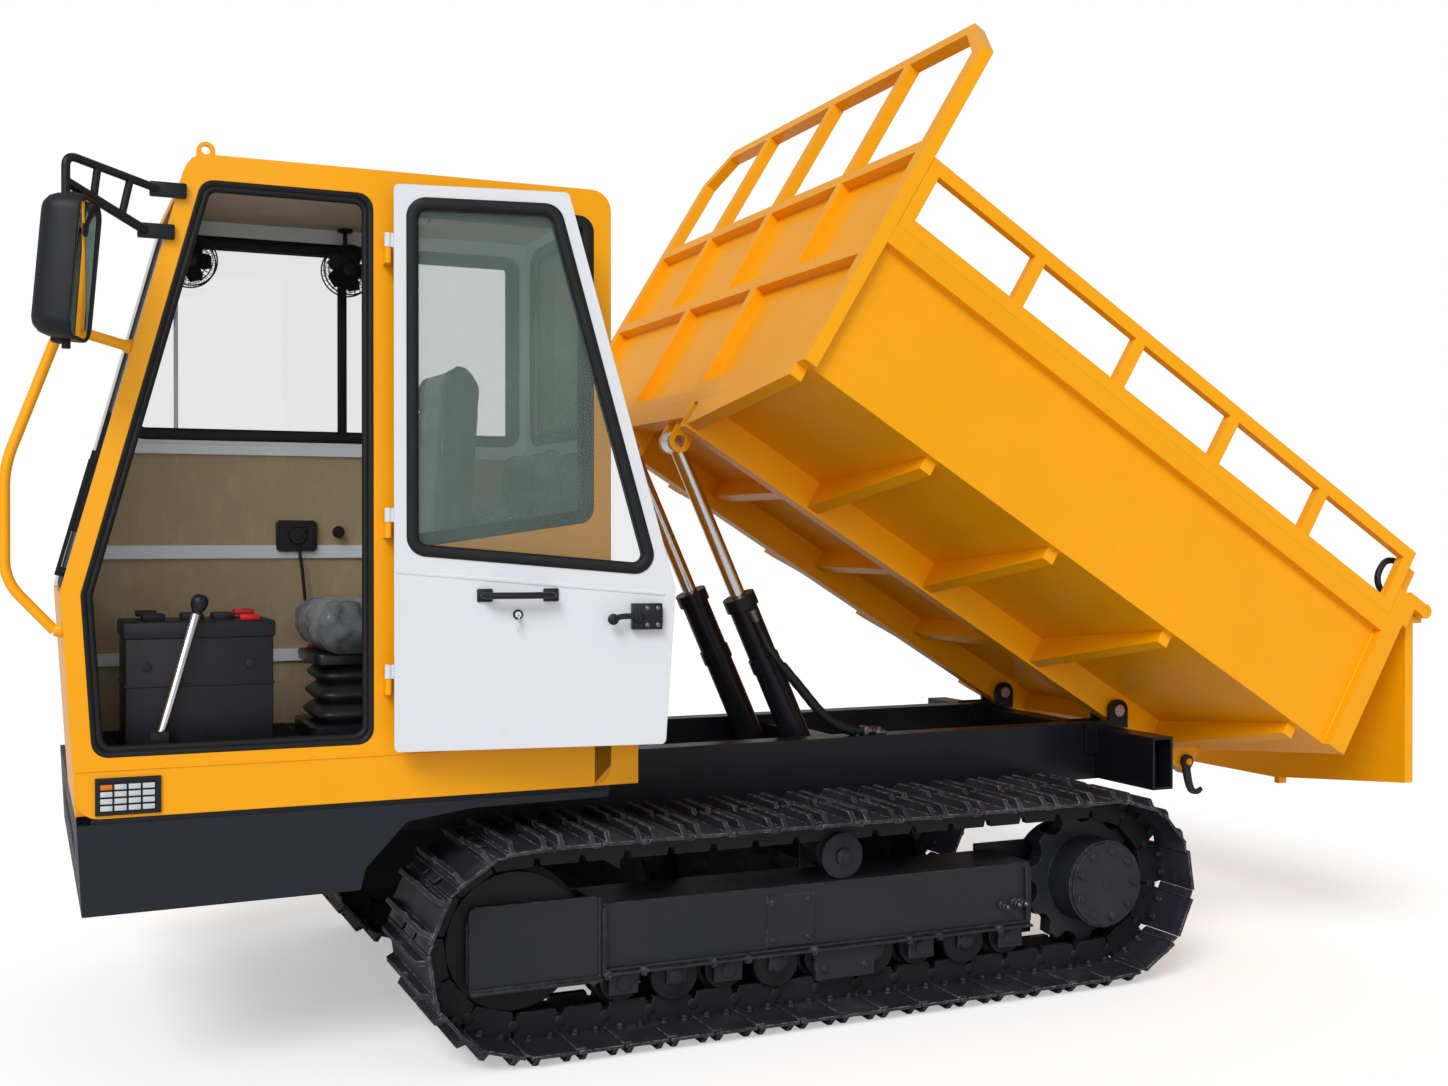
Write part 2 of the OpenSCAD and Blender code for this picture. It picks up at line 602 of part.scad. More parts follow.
module cab_glass() color(glass) {
    plate_y([[front_at(knee_z) + 12, knee_z], [front_at(knee_z) + 18, knee_z],
        [front_at(header_z) + 18, header_z], [front_at(header_z) + 12, header_z]], in_near + 1, in_far - 1);
    plate_y(quarter_window, cab_near + 14, cab_near + 20);
    plate_y(right_window, cab_far - 20, cab_far - 14);
    plate_x(rear_window, cab_rear - 24, cab_rear - 18);
}
// Skirt below the sill, with the arches over the tracks, the front bumper and a side vent
module cab_skirt() color(charcoal) {
    arch_x = idler_x - axle_z - 110;
    band_low = sill_z - 36;
    skin = [[nose_at(sill_z) + 14, skirt_z], [arch_x, skirt_z + 8], [arch_x + 14, skirt_z + 64],
        [arch_x + 120, band_low - 24], [arch_x + 300, band_low], [cab_rear - 8, band_low + 4],
        [cab_rear - 2, sill_z], [sill_x, sill_z]];
    both_sides() plate_y(skin, cab_left - 14, cab_left - 4);
    difference() {
        plate_y([[sill_x + 12, skirt_z], [sill_x + 24, skirt_z], [sill_x + 12, sill_z], [sill_x, sill_z]],
            4 - cab_left, cab_left - 4);
        for (y = [-420 : 60 : 420])
            block([sill_x - 5, y - 20, skirt_z + 90], [sill_x + 30, y + 20, skirt_z + 150]);
    }
    // Vent in a frame with slats
    vent_x = sill_x + 42;
    difference() {
        block([vent_x, cab_near - 6, sill_z + 8], [vent_x + 150, cab_near, sill_z + 98]);
        block([vent_x + 10, cab_near - 7, sill_z + 16], [vent_x + 140, cab_near - 1, sill_z + 90]);
    }
    for (k = [0 : 3]) translate([0, 0, sill_z + 22 + k * 17])
        block([vent_x + 9, cab_near - 5, 0], [vent_x + 141, cab_near, 6]);
}
// Trim panels inside the cab with the rails between them, and the throttle box
throttle_x = cab_rear - 740;
throttle_z = 1385;
throttle_y = in_far - 46;
throttle_lean = 6.5;
wall_rails = [[right_sill - 8, 28], [1320, 38], [1022, 35]];
fan_y = in_far - 75;
fan_z = roof_z - roof_t - 134;
fan_xs = [roof_x + 56, roof_x + 494];
fan_r = 73;
module cab_lining() color(lining) {
    inner_x = cab_rear - cab_wall - laid;
    inner_y = in_far - laid;
    left_y = in_near + laid;
    front_pts = [[nose_at(floor_z + 1) + cab_wall + 4, floor_z], [inner_x, floor_z], [inner_x, right_sill],
        [front_at(right_sill) + cab_wall + 4, right_sill], [knee_x + cab_wall + 4, knee_z]];
    plate_y(front_pts, inner_y - 6, inner_y);
    for (r = wall_rails) block([front_at(max(r[0], knee_z)) + 80, inner_y - 16, r[0]],
        [inner_x, inner_y - 5, r[0] + r[1]]);
    block([roof_x + 60, left_y, ceiling_z - 6], [inner_x, inner_y, ceiling_z]);
    block([inner_x - 6, left_y, floor_z], [inner_x, inner_y - 5, right_sill]);
    block([inner_x - 16, left_y, right_sill - 8], [inner_x - 5, inner_y - 5, right_sill + 20]);
    block([throttle_x - 50, throttle_y + 12, throttle_z - 45],
        [throttle_x + 50, inner_y - 5, throttle_z + 45]);
    bar_y([throttle_x, throttle_z], 10, throttle_y - 14, throttle_y + 13);
}
module cab_fans() color(rubber) for (x = fan_xs) translate([x, fan_y, fan_z]) {
    bar_y([0, 0], 26, 8, 56);
    bar_y([0, 0], 5, -14, 9);
    translate([-6, 20, 0]) cube([12, 12, ceiling_z - 6 - fan_z]);
    difference() {
        bar_y([0, 0], fan_r, -22, 26);
        bar_y([0, 0], fan_r - 5, -30, 30);
    }
    for (k = [0 : 5]) rotate([0, k * 60, 0]) block([8, 20, -2], [fan_r - 4, 24, 2]);
}
module fan_blades(x) color(rubber) translate([x, fan_y, fan_z]) {
    difference() {
        union() {
            bar_y([0, 0], 16, -14, 6);
            for (k = [0 : 4]) rotate([0, k * 72, 0]) translate([14, -4, 0]) rotate([24, 0, 0])
                block([0, -1.5, -16], [fan_r - 28, 1.5, 16]);
        }
        bar_y([0, 0], 5 + fit, -15, 7);
    }
}
module door_seal() color(rubber) {
    ring = rounded(inset(door_bay, post_w + seal_w), 28);
    difference() {
        plate_y(door_gap, cab_near, cab_near + 26);
        plate_y(ring, cab_near - 1, cab_near + 27);
    }
}

// Door: built shut, then swung back about its hinge pins
door_shape = rounded(inset(door_bay, post_w - door_lap), 46);
pane_bay = [[nose_at(door_low + 470), door_low + 510], [door_back, door_low + 555], [door_back, roof_z - 17],
    [front_at(roof_z - 17), roof_z - 17], [knee_x, knee_z + 80]];
pane = rounded(inset(pane_bay, post_w - door_lap + door_rim), 34);
latch_x = nose_at(latch_z) + post_w + seal_w + 46;
module door_panel() color(white) door_pose() {
    difference() {
        plate_y(door_shape, -door_face - door_t, -door_face);
        plate_y(pane, -door_face - door_t - 1, -door_face + 1);
        plate_y(rounded(inset([[nose_at(door_low + 60), door_low + 30], [door_back - 26, door_low + 30],
            [door_back - 26, door_low + 440], [nose_at(door_low + 400) + 70, door_low + 400]], post_w), 30),
            -door_face - 6, -door_face + 1);
    }
    // Hinge knuckles
    for (z = door_hinge_zs) difference() {
        union() {
            translate([door_pivot[0], door_pivot[1], z + gap]) cylinder(r = hinge_barrel_r, h = 36);
            block([door_edge - 4, door_pivot[1] - 4, z + gap],
                [door_pivot[0], door_pivot[1] + 5, z + gap + 36]);
        }
        translate([door_pivot[0], door_pivot[1], z]) cylinder(r = hinge_pin_r + fit, h = 45);
    }
    // Latch box on the inner face, with the lever's pin
    block([latch_x - 40, -door_face, latch_z - 34], [latch_x + 40, -door_face + 26, latch_z + 34]);
    bar_y([latch_x + 26, latch_z], 6, -door_face + 25, -door_face + 44);
}
module door_glass() color(glass) door_pose()
    plate_y(pane, -door_face - door_t / 2 - 3, -door_face - door_t / 2 + 3);
module door_pull() color(rubber) door_pose() {
    pull = [latch_x + 250, latch_x + 420];
    for (x = pull) block([x - 14, -door_face, latch_z + 44], [x + 14, -door_face + 32, latch_z + 72]);
    block([pull[0] - 14, -door_face + 30, latch_z + 44], [pull[1] + 14, -door_face + 48, latch_z + 72]);
}
module door_latch_lever() color(rubber) door_pose() difference() {
    union() {
        bar_y([latch_x + 26, latch_z], 12, -door_face + 26.5, -door_face + 42);
        block([latch_x + 26, -door_face + 27, latch_z - 8], [latch_x + 92, -door_face + 39, latch_z + 8]);
        bar_y([latch_x + 92, latch_z], 14, -door_face + 25, -door_face + 46);
    }
    bar_y([latch_x + 26, latch_z], 6 + fit, -door_face + 20, -door_face + 45);
}

// Mirror on an upright bar, carried by a ladder of tubes from two plates on the left post
mirror_bar = [knee_x + 11, cab_near - 155];
mirror_z = roof_z - 324;
mirror_size = [90, 156, 330];
mirror_turn = -32;
mirror_tube_r = 10;
mirror_feet = [for (z = [roof_z - 97, roof_z - 199]) [front_at(z) - 50, cab_near - 14, z]];
mirror_tops = [for (z = [roof_z - 64, roof_z - 126]) [mirror_bar[0], mirror_bar[1], z]];
module mirror_bracket() color(rubber) {
    bar([mirror_bar[0], mirror_bar[1], mirror_z - mirror_size[2] / 2 - 20], mirror_tops[0], mirror_tube_r);
    translate(mirror_tops[0]) sphere(mirror_tube_r + 0.3);
    for (i = [0, 1]) {
        bar(mirror_feet[i], mirror_tops[i], mirror_tube_r - 1);
        block(mirror_feet[i] - [16, 0, 18],
            [front_at(mirror_feet[i][2]) + 20, cab_near - laid, mirror_feet[i][2] + 18]);
    }
    for (u = [0.3, 0.66]) bar(mirror_feet[0] + u * (mirror_tops[0] - mirror_feet[0]),
        mirror_feet[1] + u * (mirror_tops[1] - mirror_feet[1]), mirror_tube_r - 3);
}
function mirror_outline(rim) = let (y = mirror_size[1] / 2 - rim, z = mirror_size[2] / 2 - rim)
    rounded([[-y, -z], [y, -z], [y, z], [-y, z]], 44 - rim);
module mirror_head() color(rubber) translate([mirror_bar[0], mirror_bar[1], mirror_z])
    rotate([0, 0, mirror_turn]) difference() {
        plate_x(mirror_outline(0), -mirror_size[0] / 2, mirror_size[0] / 2);
        translate([0, 0, -mirror_size[2]]) cylinder(r = mirror_tube_r + fit, h = 2 * mirror_size[2]);
        plate_x(mirror_outline(8), mirror_size[0] / 2 - 6, mirror_size[0] / 2 + 1);
    }
module handrail() color(paint) {
    y = cab_near + 34;
    top = 1860;
    low = knee_z - 90;
    // Feet on the front of the cab, square to its two faces
    feet = [[front_at(top), y, top], [nose_at(low), y, low]];
    out = [unit([knee_z - roof_z, 0, roof_x - knee_x]), unit([sill_z - knee_z, 0, knee_x - sill_x])];
    ends = [for (i = [0, 1]) feet[i] + (rail_r + 4) * out[i]];
    route = [ends[0], [knee_x - rail_out, y, knee_z + 60], [knee_x - rail_out, y, knee_z - 30], ends[1]];
    swept_tube(eased(route, 40), rail_r, 12);
    for (i = [0, 1]) bar(feet[i] + 0.3 * out[i], ends[i], rail_r + 5);
}
// Wiper on the windscreen, its shaft square to the glass
wiper_y = cab_mid;
wiper_z = knee_z + 40;
wiper_rest = 8;
glass_lean = atan2(roof_x - knee_x, roof_z - knee_z);
module wiper_arm() color(rubber) {
    translate([front_at(wiper_z) + 12, wiper_y, wiper_z]) rotate([0, glass_lean, 0]) {
        translate([-26, 0, 0]) rotate([0, 90, 0]) cylinder(r = 12, h = 25.5);
        rotate([wiper_rest, 0, 0]) {
            block([-26, -7, 0], [-16, 7, 300]);
            block([-16, -5, 110], [-3, 5, 430]);
            block([-24, -5, 295], [-14, 5, 325]);
        }
    }
}
battery_size = [358, 240, 330];
battery_at = [cab_rear - 1239, in_near + 63, floor_z];
battery_lid = 40;
module battery() color(charcoal) translate(battery_at) {
    top = battery_size[2];
    block([0, 0, 0], [battery_size[0], battery_size[1], top - battery_lid]);
    block([-5, -5, top - battery_lid], [battery_size[0] + 5, battery_size[1] + 5, top]);
    for (x = [46, 140, 216]) block([x, 60, top - 1], [x + 54, 140, top + 18]);
    for (x = [62, battery_size[0] - 52]) translate([x, 186, top - 1]) cylinder(r = 10, h = 25);
}
module drive_lever() color(bright) translate([lever_x, lever_y, floor_z + 40]) rotate([0, lever_lean, 0])
    difference() {
        union() {
            bar_y([0, 0], 18, -13, 13);
            cylinder(r = lever_r, h = 340);
            translate([0, 0, 335]) cylinder(r = 22, h = 38);
        }
        bar_y([0, 0], lever_pin_r + fit, -20, 20);
    }
module throttle_lever() color(rubber) translate([throttle_x, throttle_y, throttle_z])
    rotate([0, -throttle_lean, 0]) difference() {
        union() {
            bar_y([0, 0], 20, -10, 10);
            block([-5, -6, -320], [5, 6, 0]);
            translate([0, 0, -362]) cylinder(r = 14, h = 46);
        }
        bar_y([0, 0], 10 + fit, -11, 11);
    }

// Seats one behind the other: the driver's on a bellows, the second one on a box against the rear wall
seat_xs = [cab_rear - 764, cab_rear - 319];
seat_zs = [floor_z + 230, floor_z + 510];
cushions = [[330, 460, 130], [170, 440, 90]];
back_ws = [440, 420];
back_ts = [85, 70];
back_hs = [760, 250];
back_lean = 3;
pad_r = 32;
module seat_bases() color(rubber) {
    foot = [[-150, -150], [150, -150], [150, 150], [-150, 150]];
    folds = 3;
    fold_h = 26;
    bellows_z = 40;
    plate_z = bellows_z + 2 * folds * fold_h;
    translate([seat_xs[0] + 160, cab_mid, floor_z]) {
        linear_extrude(bellows_z) polygon(rounded(foot * 1.1, 30));
        for (k = [0 : folds - 1]) translate([0, 0, bellows_z + 2 * k * fold_h]) {
            linear_extrude(fold_h) polygon(rounded(foot * (0.98 - k * 0.03), 45));
            translate([0, 0, fold_h]) linear_extrude(fold_h) polygon(rounded(foot * (0.86 - k * 0.03), 45));
        }
        translate([0, 0, plate_z]) linear_extrude(seat_zs[0] - floor_z - plate_z)
            polygon(rounded(foot * 1.05, 30));
    }
    box_half = [115, 205];
    translate([seat_xs[1] + box_half[0] + 10, cab_mid, floor_z]) linear_extrude(seat_zs[1] - floor_z)
        polygon(rounded([-box_half, [box_half[0], -box_half[1]], box_half, [-box_half[0], box_half[1]]], 20));
}
// Cushion with two sewn channels and a leaning back, which meets it with a narrow gap
module seat(i) color(rubber) translate([seat_xs[i], cab_mid, seat_zs[i]]) {
    cushion = cushions[i];
    difference() {
        translate([0, 0, gap / 3]) pad(cushion, pad_r, 16);
        for (x = [0.36, 0.68]) bar_y([x * cushion[0], cushion[2] + 24], 14, -300, 300);
    }
    difference() {
        translate([cushion[0] + back_ts[i] - 8, 0, 30]) rotate([0, back_lean - 90, 0])
            pad([back_hs[i], back_ws[i], back_ts[i]], pad_r, 12);
        block([-1, -back_ws[i], 0], [cushion[0] + gap / 3, back_ws[i], back_hs[i]]);
    }
}
module driver_seat() seat(0);
module passenger_seat() seat(1);

// Bed: a boat-shaped tub with side rails and gate posts
module bed_tub() color(paint) bed_pose() {
    low = mirrored([[side_y, side_top], [side_y, side_low], [floor_kink, floor_low]]);
    high = mirrored([[side_y - sheet, side_top], [side_y - sheet, side_low + sheet],
        [floor_kink, floor_low + sheet]]);
    shell = concat(low, [for (i = [len(high) - 1 : -1 : 0]) high[i]]);
    plate_x(shell, tub_front, bed_rear);
    both_sides() {
        block([tub_front, side_y - 1, side_top - flange_h], [bed_rear, bed_w / 2, side_top]);
        block([bed_rear - 70, side_y - 1, side_low], [bed_rear, bed_w / 2, side_top]);
        difference() {
            union() {
                block([bed_rear - 70, side_y + gap, side_top - 1], [bed_rear + 20, bed_w / 2, gate_z + 10]);
                bar_y([gate_x, gate_z], gate_boss_r, side_y + gap, bed_w / 2);
                block([bed_rear - 20, side_y + gap, gate_z - 20], [gate_x, bed_w / 2, gate_z + 20]);
            }
            bar_y([gate_x, gate_z], gate_pin_r + fit, side_y - 2, bed_w / 2 + 1);
        }
    }
}
rib_xs = [-1370, -880, -390, 190];
tie_xs = [-1420, -940, -460, 120];
hook_pivot = [bed_rear - 36, bed_beam_low + 34];
hook_pin_r = 12;
module bed_underframe() color(paint) bed_pose() {
    rise = (side_low - floor_low) / (side_y - floor_kink);
    rib_end = side_y - 24;
    both_sides() {
        difference() {
            union() {
                tube_x([-bed_front, floor_kink - bed_beam_w, bed_beam_low], [bed_rear, floor_kink, floor_low],
                    tube_wall);
                bar_y([0, 0], hinge_r + 12, floor_kink - bed_beam_w + 1, floor_kink - 1);
            }
            bar_y([0, 0], hinge_r + fit, floor_kink - bed_beam_w - 1, floor_kink + 1);
        }
        for (x = concat(rib_xs, [-bed_front])) plate_x([[floor_kink - 1, bed_beam_low + 8],
            [rib_end, floor_low + rise * (rib_end - floor_kink) - 38],
            [rib_end, floor_low + rise * (rib_end - floor_kink)], [floor_kink, floor_low],
            [floor_kink - 1, floor_low]], x, x + rail_w);
        bar_y(hook_pivot, hook_pin_r, floor_kink - 2, floor_kink + 24);
    }
    for (x = concat(tie_xs, [-bed_front])) block([x, bed_beam_w - floor_kink - 1, floor_low - 64],
        [x + rail_w, floor_kink - bed_beam_w + 1, floor_low]);
    // Upper hoist brackets under the front tie
    both_sides() for (y = [hoist_y - eye_lug_in - eye_lug_t, hoist_y + eye_lug_in]) difference() {
        union() {
            bar_y([-eye_fwd, -eye_drop], hoist_eye_r, y, y + eye_lug_t);
            block([-eye_fwd - hoist_eye_r, y, -eye_drop], [-eye_fwd + hoist_eye_r, y + eye_lug_t, floor_low]);
        }
        bar_y([-eye_fwd, -eye_drop], hoist_pin_r + 1, y - 1, y + eye_lug_t + 1);
    }
}
// Front wall with an open guard above it, in a frame of tubes
guard_post = 50;
guard_bevel = [150, 130];
wall_mid = side_low + 360;
module guard_recess(y0, y1, z0, z1) block([-rail_w - 1, y0, z0], [-sheet, y1, z1]);
module front_guard() color(paint) bed_pose() translate([tub_front, 0, 0]) {
    half = bed_w / 2;
    post_in = half - guard_post;
    quarter = half / 2;
    outline = mirrored([[half - guard_bevel[0], guard_top], [half, guard_top - guard_bevel[1]],
        [half, side_low], [side_y, side_low], [floor_kink, floor_low]]);
    difference() {
        plate_x(outline, -rail_w, 0);
        for (k = [0 : 1]) mirror([0, k, 0]) {
            // Openings of the guard, the outer one with a bevelled corner
            block([-rail_w - 1, rail_w / 2, fence_top + rail_w],
                [1, quarter - rail_w / 2, guard_top - rail_w]);
            plate_x([[quarter + rail_w / 2, fence_top + rail_w], [post_in, fence_top + rail_w],
                [post_in, guard_top - guard_bevel[1] - 12], [half - guard_bevel[0] - 12, guard_top - rail_w],
                [quarter + rail_w / 2, guard_top - rail_w]], -rail_w - 1, 1);
            // Recesses between the ribs of the solid wall
            guard_recess(rail_w / 2, quarter - rail_w / 2, wall_mid + rail_w, fence_top);
            guard_recess(quarter + rail_w / 2, post_in, wall_mid + rail_w, fence_top);
            plate_x([[quarter / 2 + rail_w, side_low], [quarter / 2 + rail_w, wall_mid], [post_in, wall_mid],
                [post_in, side_low + rail_w]], -rail_w - 1, -sheet);
        }
        guard_recess(-quarter / 2, quarter / 2, floor_low + rail_w, wall_mid);
    }
}
module side_fences() color(paint) bed_pose() both_sides() {
    x0 = tub_front + gap;
    x1 = bed_rear - 70 - gap;
    bays = 5;
    span = (x1 - x0 - rail_w) / bays;
    difference() {
        block([x0, side_y, side_top], [x1, bed_w / 2, fence_top]);
        for (k = [0 : bays - 1]) block([x0 + rail_w + k * span, side_y - 1, side_top + rail_w],
            [x0 + (k + 1) * span, bed_w / 2 + 1, fence_top - rail_w]);
    }
}
module tailgate() color(paint) gate_pose() {
    half = side_y - sheet - 3;
    low = side_low - gate_z + 6;
    mid = floor_low + sheet - gate_z + 6;
    outline = mirrored([[half, -34], [half, low], [floor_kink, mid]]);
    frame_x = 34 - gate_front;
    difference() {
        plate_x(outline, -gate_front, frame_x);
        for (k = [0 : 3]) let (w = (2 * half - rail_w) / 4)
            block([sheet - gate_front, -half + rail_w + k * w, low + rail_w],
                [frame_x + 1, -half + (k + 1) * w, -34 - rail_w]);
    }
    both_sides() {
        block([-gate_front, half - 24, -40], [gate_boss_r - 4, half, 14]);
        bar_y([0, 0], gate_boss_r, half - 24, half);
        bar_y([0, 0], gate_pin_r, half - 1, bed_w / 2 - 2);
        // Striker that the latch hook takes
        block([-gate_front, floor_kink + 2, mid - 20], [frame_x, floor_kink + 26, mid + 30]);
    }
}
// Latch hooks on the beam ends, dropped while the bed is tipped
hook_open = 42;
module gate_hooks() color(rubber) bed_pose() both_sides()
    translate([hook_pivot[0], floor_kink + gap, hook_pivot[1]]) rotate([0, hook_open, 0]) difference() {
        union() {
            bar_y([0, 0], 24, 0, 16);
            plate_y(rounded([[-10, -20], [112, -20], [124, 34], [108, 38], [98, 8], [0, 16]], 6), 0, 16);
        }
        bar_y([0, 0], hook_pin_r + fit, -1, 17);
    }

// Hoist cylinders, drawn along +X from the lower pin
module hoist_barrels() color(charcoal) hoist_pose() both_sides() translate([0, hoist_y, 0]) difference() {
    union() {
        bar_y([0, 0], hoist_eye_r, -eye_w / 2, eye_w / 2);
        bar_x([0, 0], eye_w / 2 - 4, 20, barrel_start + 1);
        bar_x([0, 0], barrel_r, barrel_start, barrel_len);
        bar_x([0, 0], barrel_r + 8, barrel_len - gland_l, barrel_len);
        bar_x([0, 0], barrel_r + 5, barrel_len - 260, barrel_len - 215);
    }
    bar_y([0, 0], hoist_pin_r + fit, -eye_w, eye_w);
    bar_x([0, 0], barrel_r - 8, bore_start, barrel_len - gland_l);
    bar_x([0, 0], rod_r + fit, bore_start, barrel_len + 1);
}
module hoist_rods() color(bright) hoist_pose() both_sides() translate([hoist_len, hoist_y, 0]) {
    bar_x([0, 0], rod_r, piston_l - rod_len - 1, -hoist_eye_r + 8);
    bar_x([0, 0], barrel_r - 8 - gap, -rod_len, piston_l - rod_len);
    bar_y([0, 0], hoist_eye_r, -eye_w / 2, eye_w / 2);
    bar_y([0, 0], hoist_pin_r, -eye_lug_in + gap, eye_lug_in - gap);
}
// Hydraulic hose: it lies on the near beam, rises to the left barrel and runs along it to the gland
hose_r = 12;
hose_rest = 0.3;
hose_y = -hoist_y - barrel_r - hose_r - hose_rest;
function beside_barrel(along, out) = [base_x + along * cos(hoist_angle), hose_y - out,
    base_z + along * sin(hoist_angle)];
hose_route = [
    for (x = [150, 40]) [base_x + x, beam_w / 2 - beam_y, beam_top + hose_r + hose_rest],
    beside_barrel(barrel_len - 205, 32),
    beside_barrel(barrel_len - 150, 0),
    beside_barrel(barrel_len - gland_l - 12, 0)];
module hoist_hoses() color(rubber) swept_tube(eased(hose_route, 26), hose_r, 8);

// Engine between the beams with its pump, the hood beside the cab and the tanks
engine_x = cab_rear - 860;
module engine() color(steel) translate([engine_x, 0, 0]) {
    half = beam_in - 70;
    block([0, -half + 60, beam_low - 30], [430, half - 60, beam_low + 160]);
    block([30, -half + 90, beam_low - 80], [380, half - 90, beam_low - 29]);
    block([10, -half + 80, beam_low + 159], [420, half - 80, beam_top - 10]);
    bar_x([0, beam_low + 60], 120, 429, 510);
    bar_x([0, beam_low + 60], 60, 509, 640);
    bar_x([0, beam_low + 60], 45, -40, 1);
    // Engine feet on the beams
    for (x = [40, 330]) for (s = [-1, 1]) block([x, min(s * (half - 61), s * beam_in), beam_low + 40],
        [x + 60, max(s * (half - 61), s * beam_in), beam_low + 60]);
}
// Hood: a sheet shell that is open below, with louvres, on bearers that stand on the right beam
hood_t = 6;
hood_near = cab_far + 12;
hood_front = sill_x + 46;
hood_slope = [300, 380];
hood_low = bearer_z;
module engine_hood() color(paint) {
    low = hood_low - 100;
    upper = [[cab_rear, hood_z], [hood_front + hood_slope[0], hood_z], [hood_front, hood_z - hood_slope[1]]];
    outer = concat([[hood_front, hood_low], [cab_rear, hood_low]], upper);
    hollow = inset(concat([[hood_front, low], [cab_rear, low]], upper), hood_t);
    difference() {
        plate_y(outer, hood_near, cab_left);
        plate_y(hollow, hood_near + hood_t, cab_left - hood_t);
        for (k = [0 : 7]) for (x = [hood_front + 420, hood_front + 820])
            block([x, cab_left - hood_t - 1, hood_z - 120 - k * 44],
                [x + 320, cab_left + 1, hood_z - 100 - k * 44]);
        for (k = [0 : 5]) block([hood_front - 1, 140, hood_low + 80 + k * 40],
            [hood_front + hood_t + 1, 600, hood_low + 98 + k * 40]);
    }
    // Aprons down to the skirt
    block([hood_front, cab_left - hood_t, sill_z + laid], [cab_rear, cab_left, hood_low + 1]);
    block([hood_front, hood_near, sill_z + laid], [hood_front + hood_t, cab_left - 1, hood_low + 1]);
    // Bearers
    for (x = bearer_xs) {
        block([x, hood_near + 1, bearer_z], [x + bearer_w, cab_left - 1, bearer_z + 40]);
        block([x, beam_in, beam_top], [x + bearer_w, beam_y, bearer_z + 1]);
    }
}
tank_inset = 84;
module fluid_tanks() color(charcoal) both_sides() {
    outline = rounded([[sill_x + 60, skirt_z + 40], [sill_x + 480, skirt_z + 40],
        [sill_x + 480, floor_z - 90], [sill_x + 60, floor_z - 90]], 40);
    plate_y(outline, beam_y, cab_left - tank_inset);
    translate([sill_x + 150, cab_left - tank_inset - 80, floor_z - 91]) cylinder(r = 36, h = 30);
}

chassis_frame();
pivot_pins();
final_drives();
for (s = SIDES) {
    track_frame(s);
    track_chain(s);
    track_shoes(s);
    sprocket(s);
    idler(s);
    carrier_roller(s);
    for (i = ROLLERS) road_roller(s, i);
}
cab_floor();
cab_shell();
cab_glass();
cab_skirt();
cab_lining();
door_seal();
door_panel();
door_glass();
door_pull();
door_latch_lever();
mirror_bracket();
mirror_head();
handrail();
wiper_arm();
battery();
drive_lever();
throttle_lever();
seat_bases();
driver_seat();
passenger_seat();
cab_fans();
fan_blades(fan_xs[0]);  // fan_blades_front
fan_blades(fan_xs[1]);  // fan_blades_rear
bed_tub();
bed_underframe();
front_guard();
side_fences();
tailgate();
gate_hooks();
hoist_barrels();
hoist_rods();
hoist_hoses();
engine();
engine_hood();
fluid_tanks();
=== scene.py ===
import math

import bmesh
import bpy
import numpy as np
from mathutils import Matrix, Vector, noise


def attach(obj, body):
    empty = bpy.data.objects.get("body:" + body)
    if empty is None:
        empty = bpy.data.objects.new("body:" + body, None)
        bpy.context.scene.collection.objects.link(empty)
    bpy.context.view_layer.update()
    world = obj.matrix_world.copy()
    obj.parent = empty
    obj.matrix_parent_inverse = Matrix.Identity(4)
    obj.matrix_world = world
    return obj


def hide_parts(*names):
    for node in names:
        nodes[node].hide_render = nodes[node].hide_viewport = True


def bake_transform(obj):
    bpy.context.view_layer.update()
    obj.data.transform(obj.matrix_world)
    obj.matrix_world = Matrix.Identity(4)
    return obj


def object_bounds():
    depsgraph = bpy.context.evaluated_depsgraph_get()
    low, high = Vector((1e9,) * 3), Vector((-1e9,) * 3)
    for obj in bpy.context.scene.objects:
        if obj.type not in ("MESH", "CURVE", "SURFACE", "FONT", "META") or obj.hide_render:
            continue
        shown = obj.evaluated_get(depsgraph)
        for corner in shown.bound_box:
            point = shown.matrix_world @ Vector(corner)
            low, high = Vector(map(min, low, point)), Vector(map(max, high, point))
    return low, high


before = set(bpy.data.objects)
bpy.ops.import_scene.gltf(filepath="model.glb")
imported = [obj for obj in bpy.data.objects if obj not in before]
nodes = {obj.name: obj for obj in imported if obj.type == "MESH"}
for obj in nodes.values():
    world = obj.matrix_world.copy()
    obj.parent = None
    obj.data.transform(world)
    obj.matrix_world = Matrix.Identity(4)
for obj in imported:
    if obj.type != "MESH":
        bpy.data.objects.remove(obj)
cad_box = [list(v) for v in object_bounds()]
scene = bpy.context.scene
scene.view_settings.view_transform = "Standard"

# Camera at the photograph's place, for a frame of 1448 by 1086 pixels
PHOTO_W, FOCAL, SENSOR = 1448, 1602.9, 36
camera = bpy.data.objects.new("camera", bpy.data.cameras.new("camera"))
scene.collection.objects.link(camera)
camera.location = (-2.1057, -4.883, 1.389)
camera.rotation_euler = (math.radians(90 - 0.304), 0, math.radians(-23.84))
camera.data.sensor_fit = "HORIZONTAL"
camera.data.sensor_width = SENSOR
camera.data.lens = SENSOR * FOCAL / PHOTO_W
camera.data.clip_end = 100
scene.camera = camera

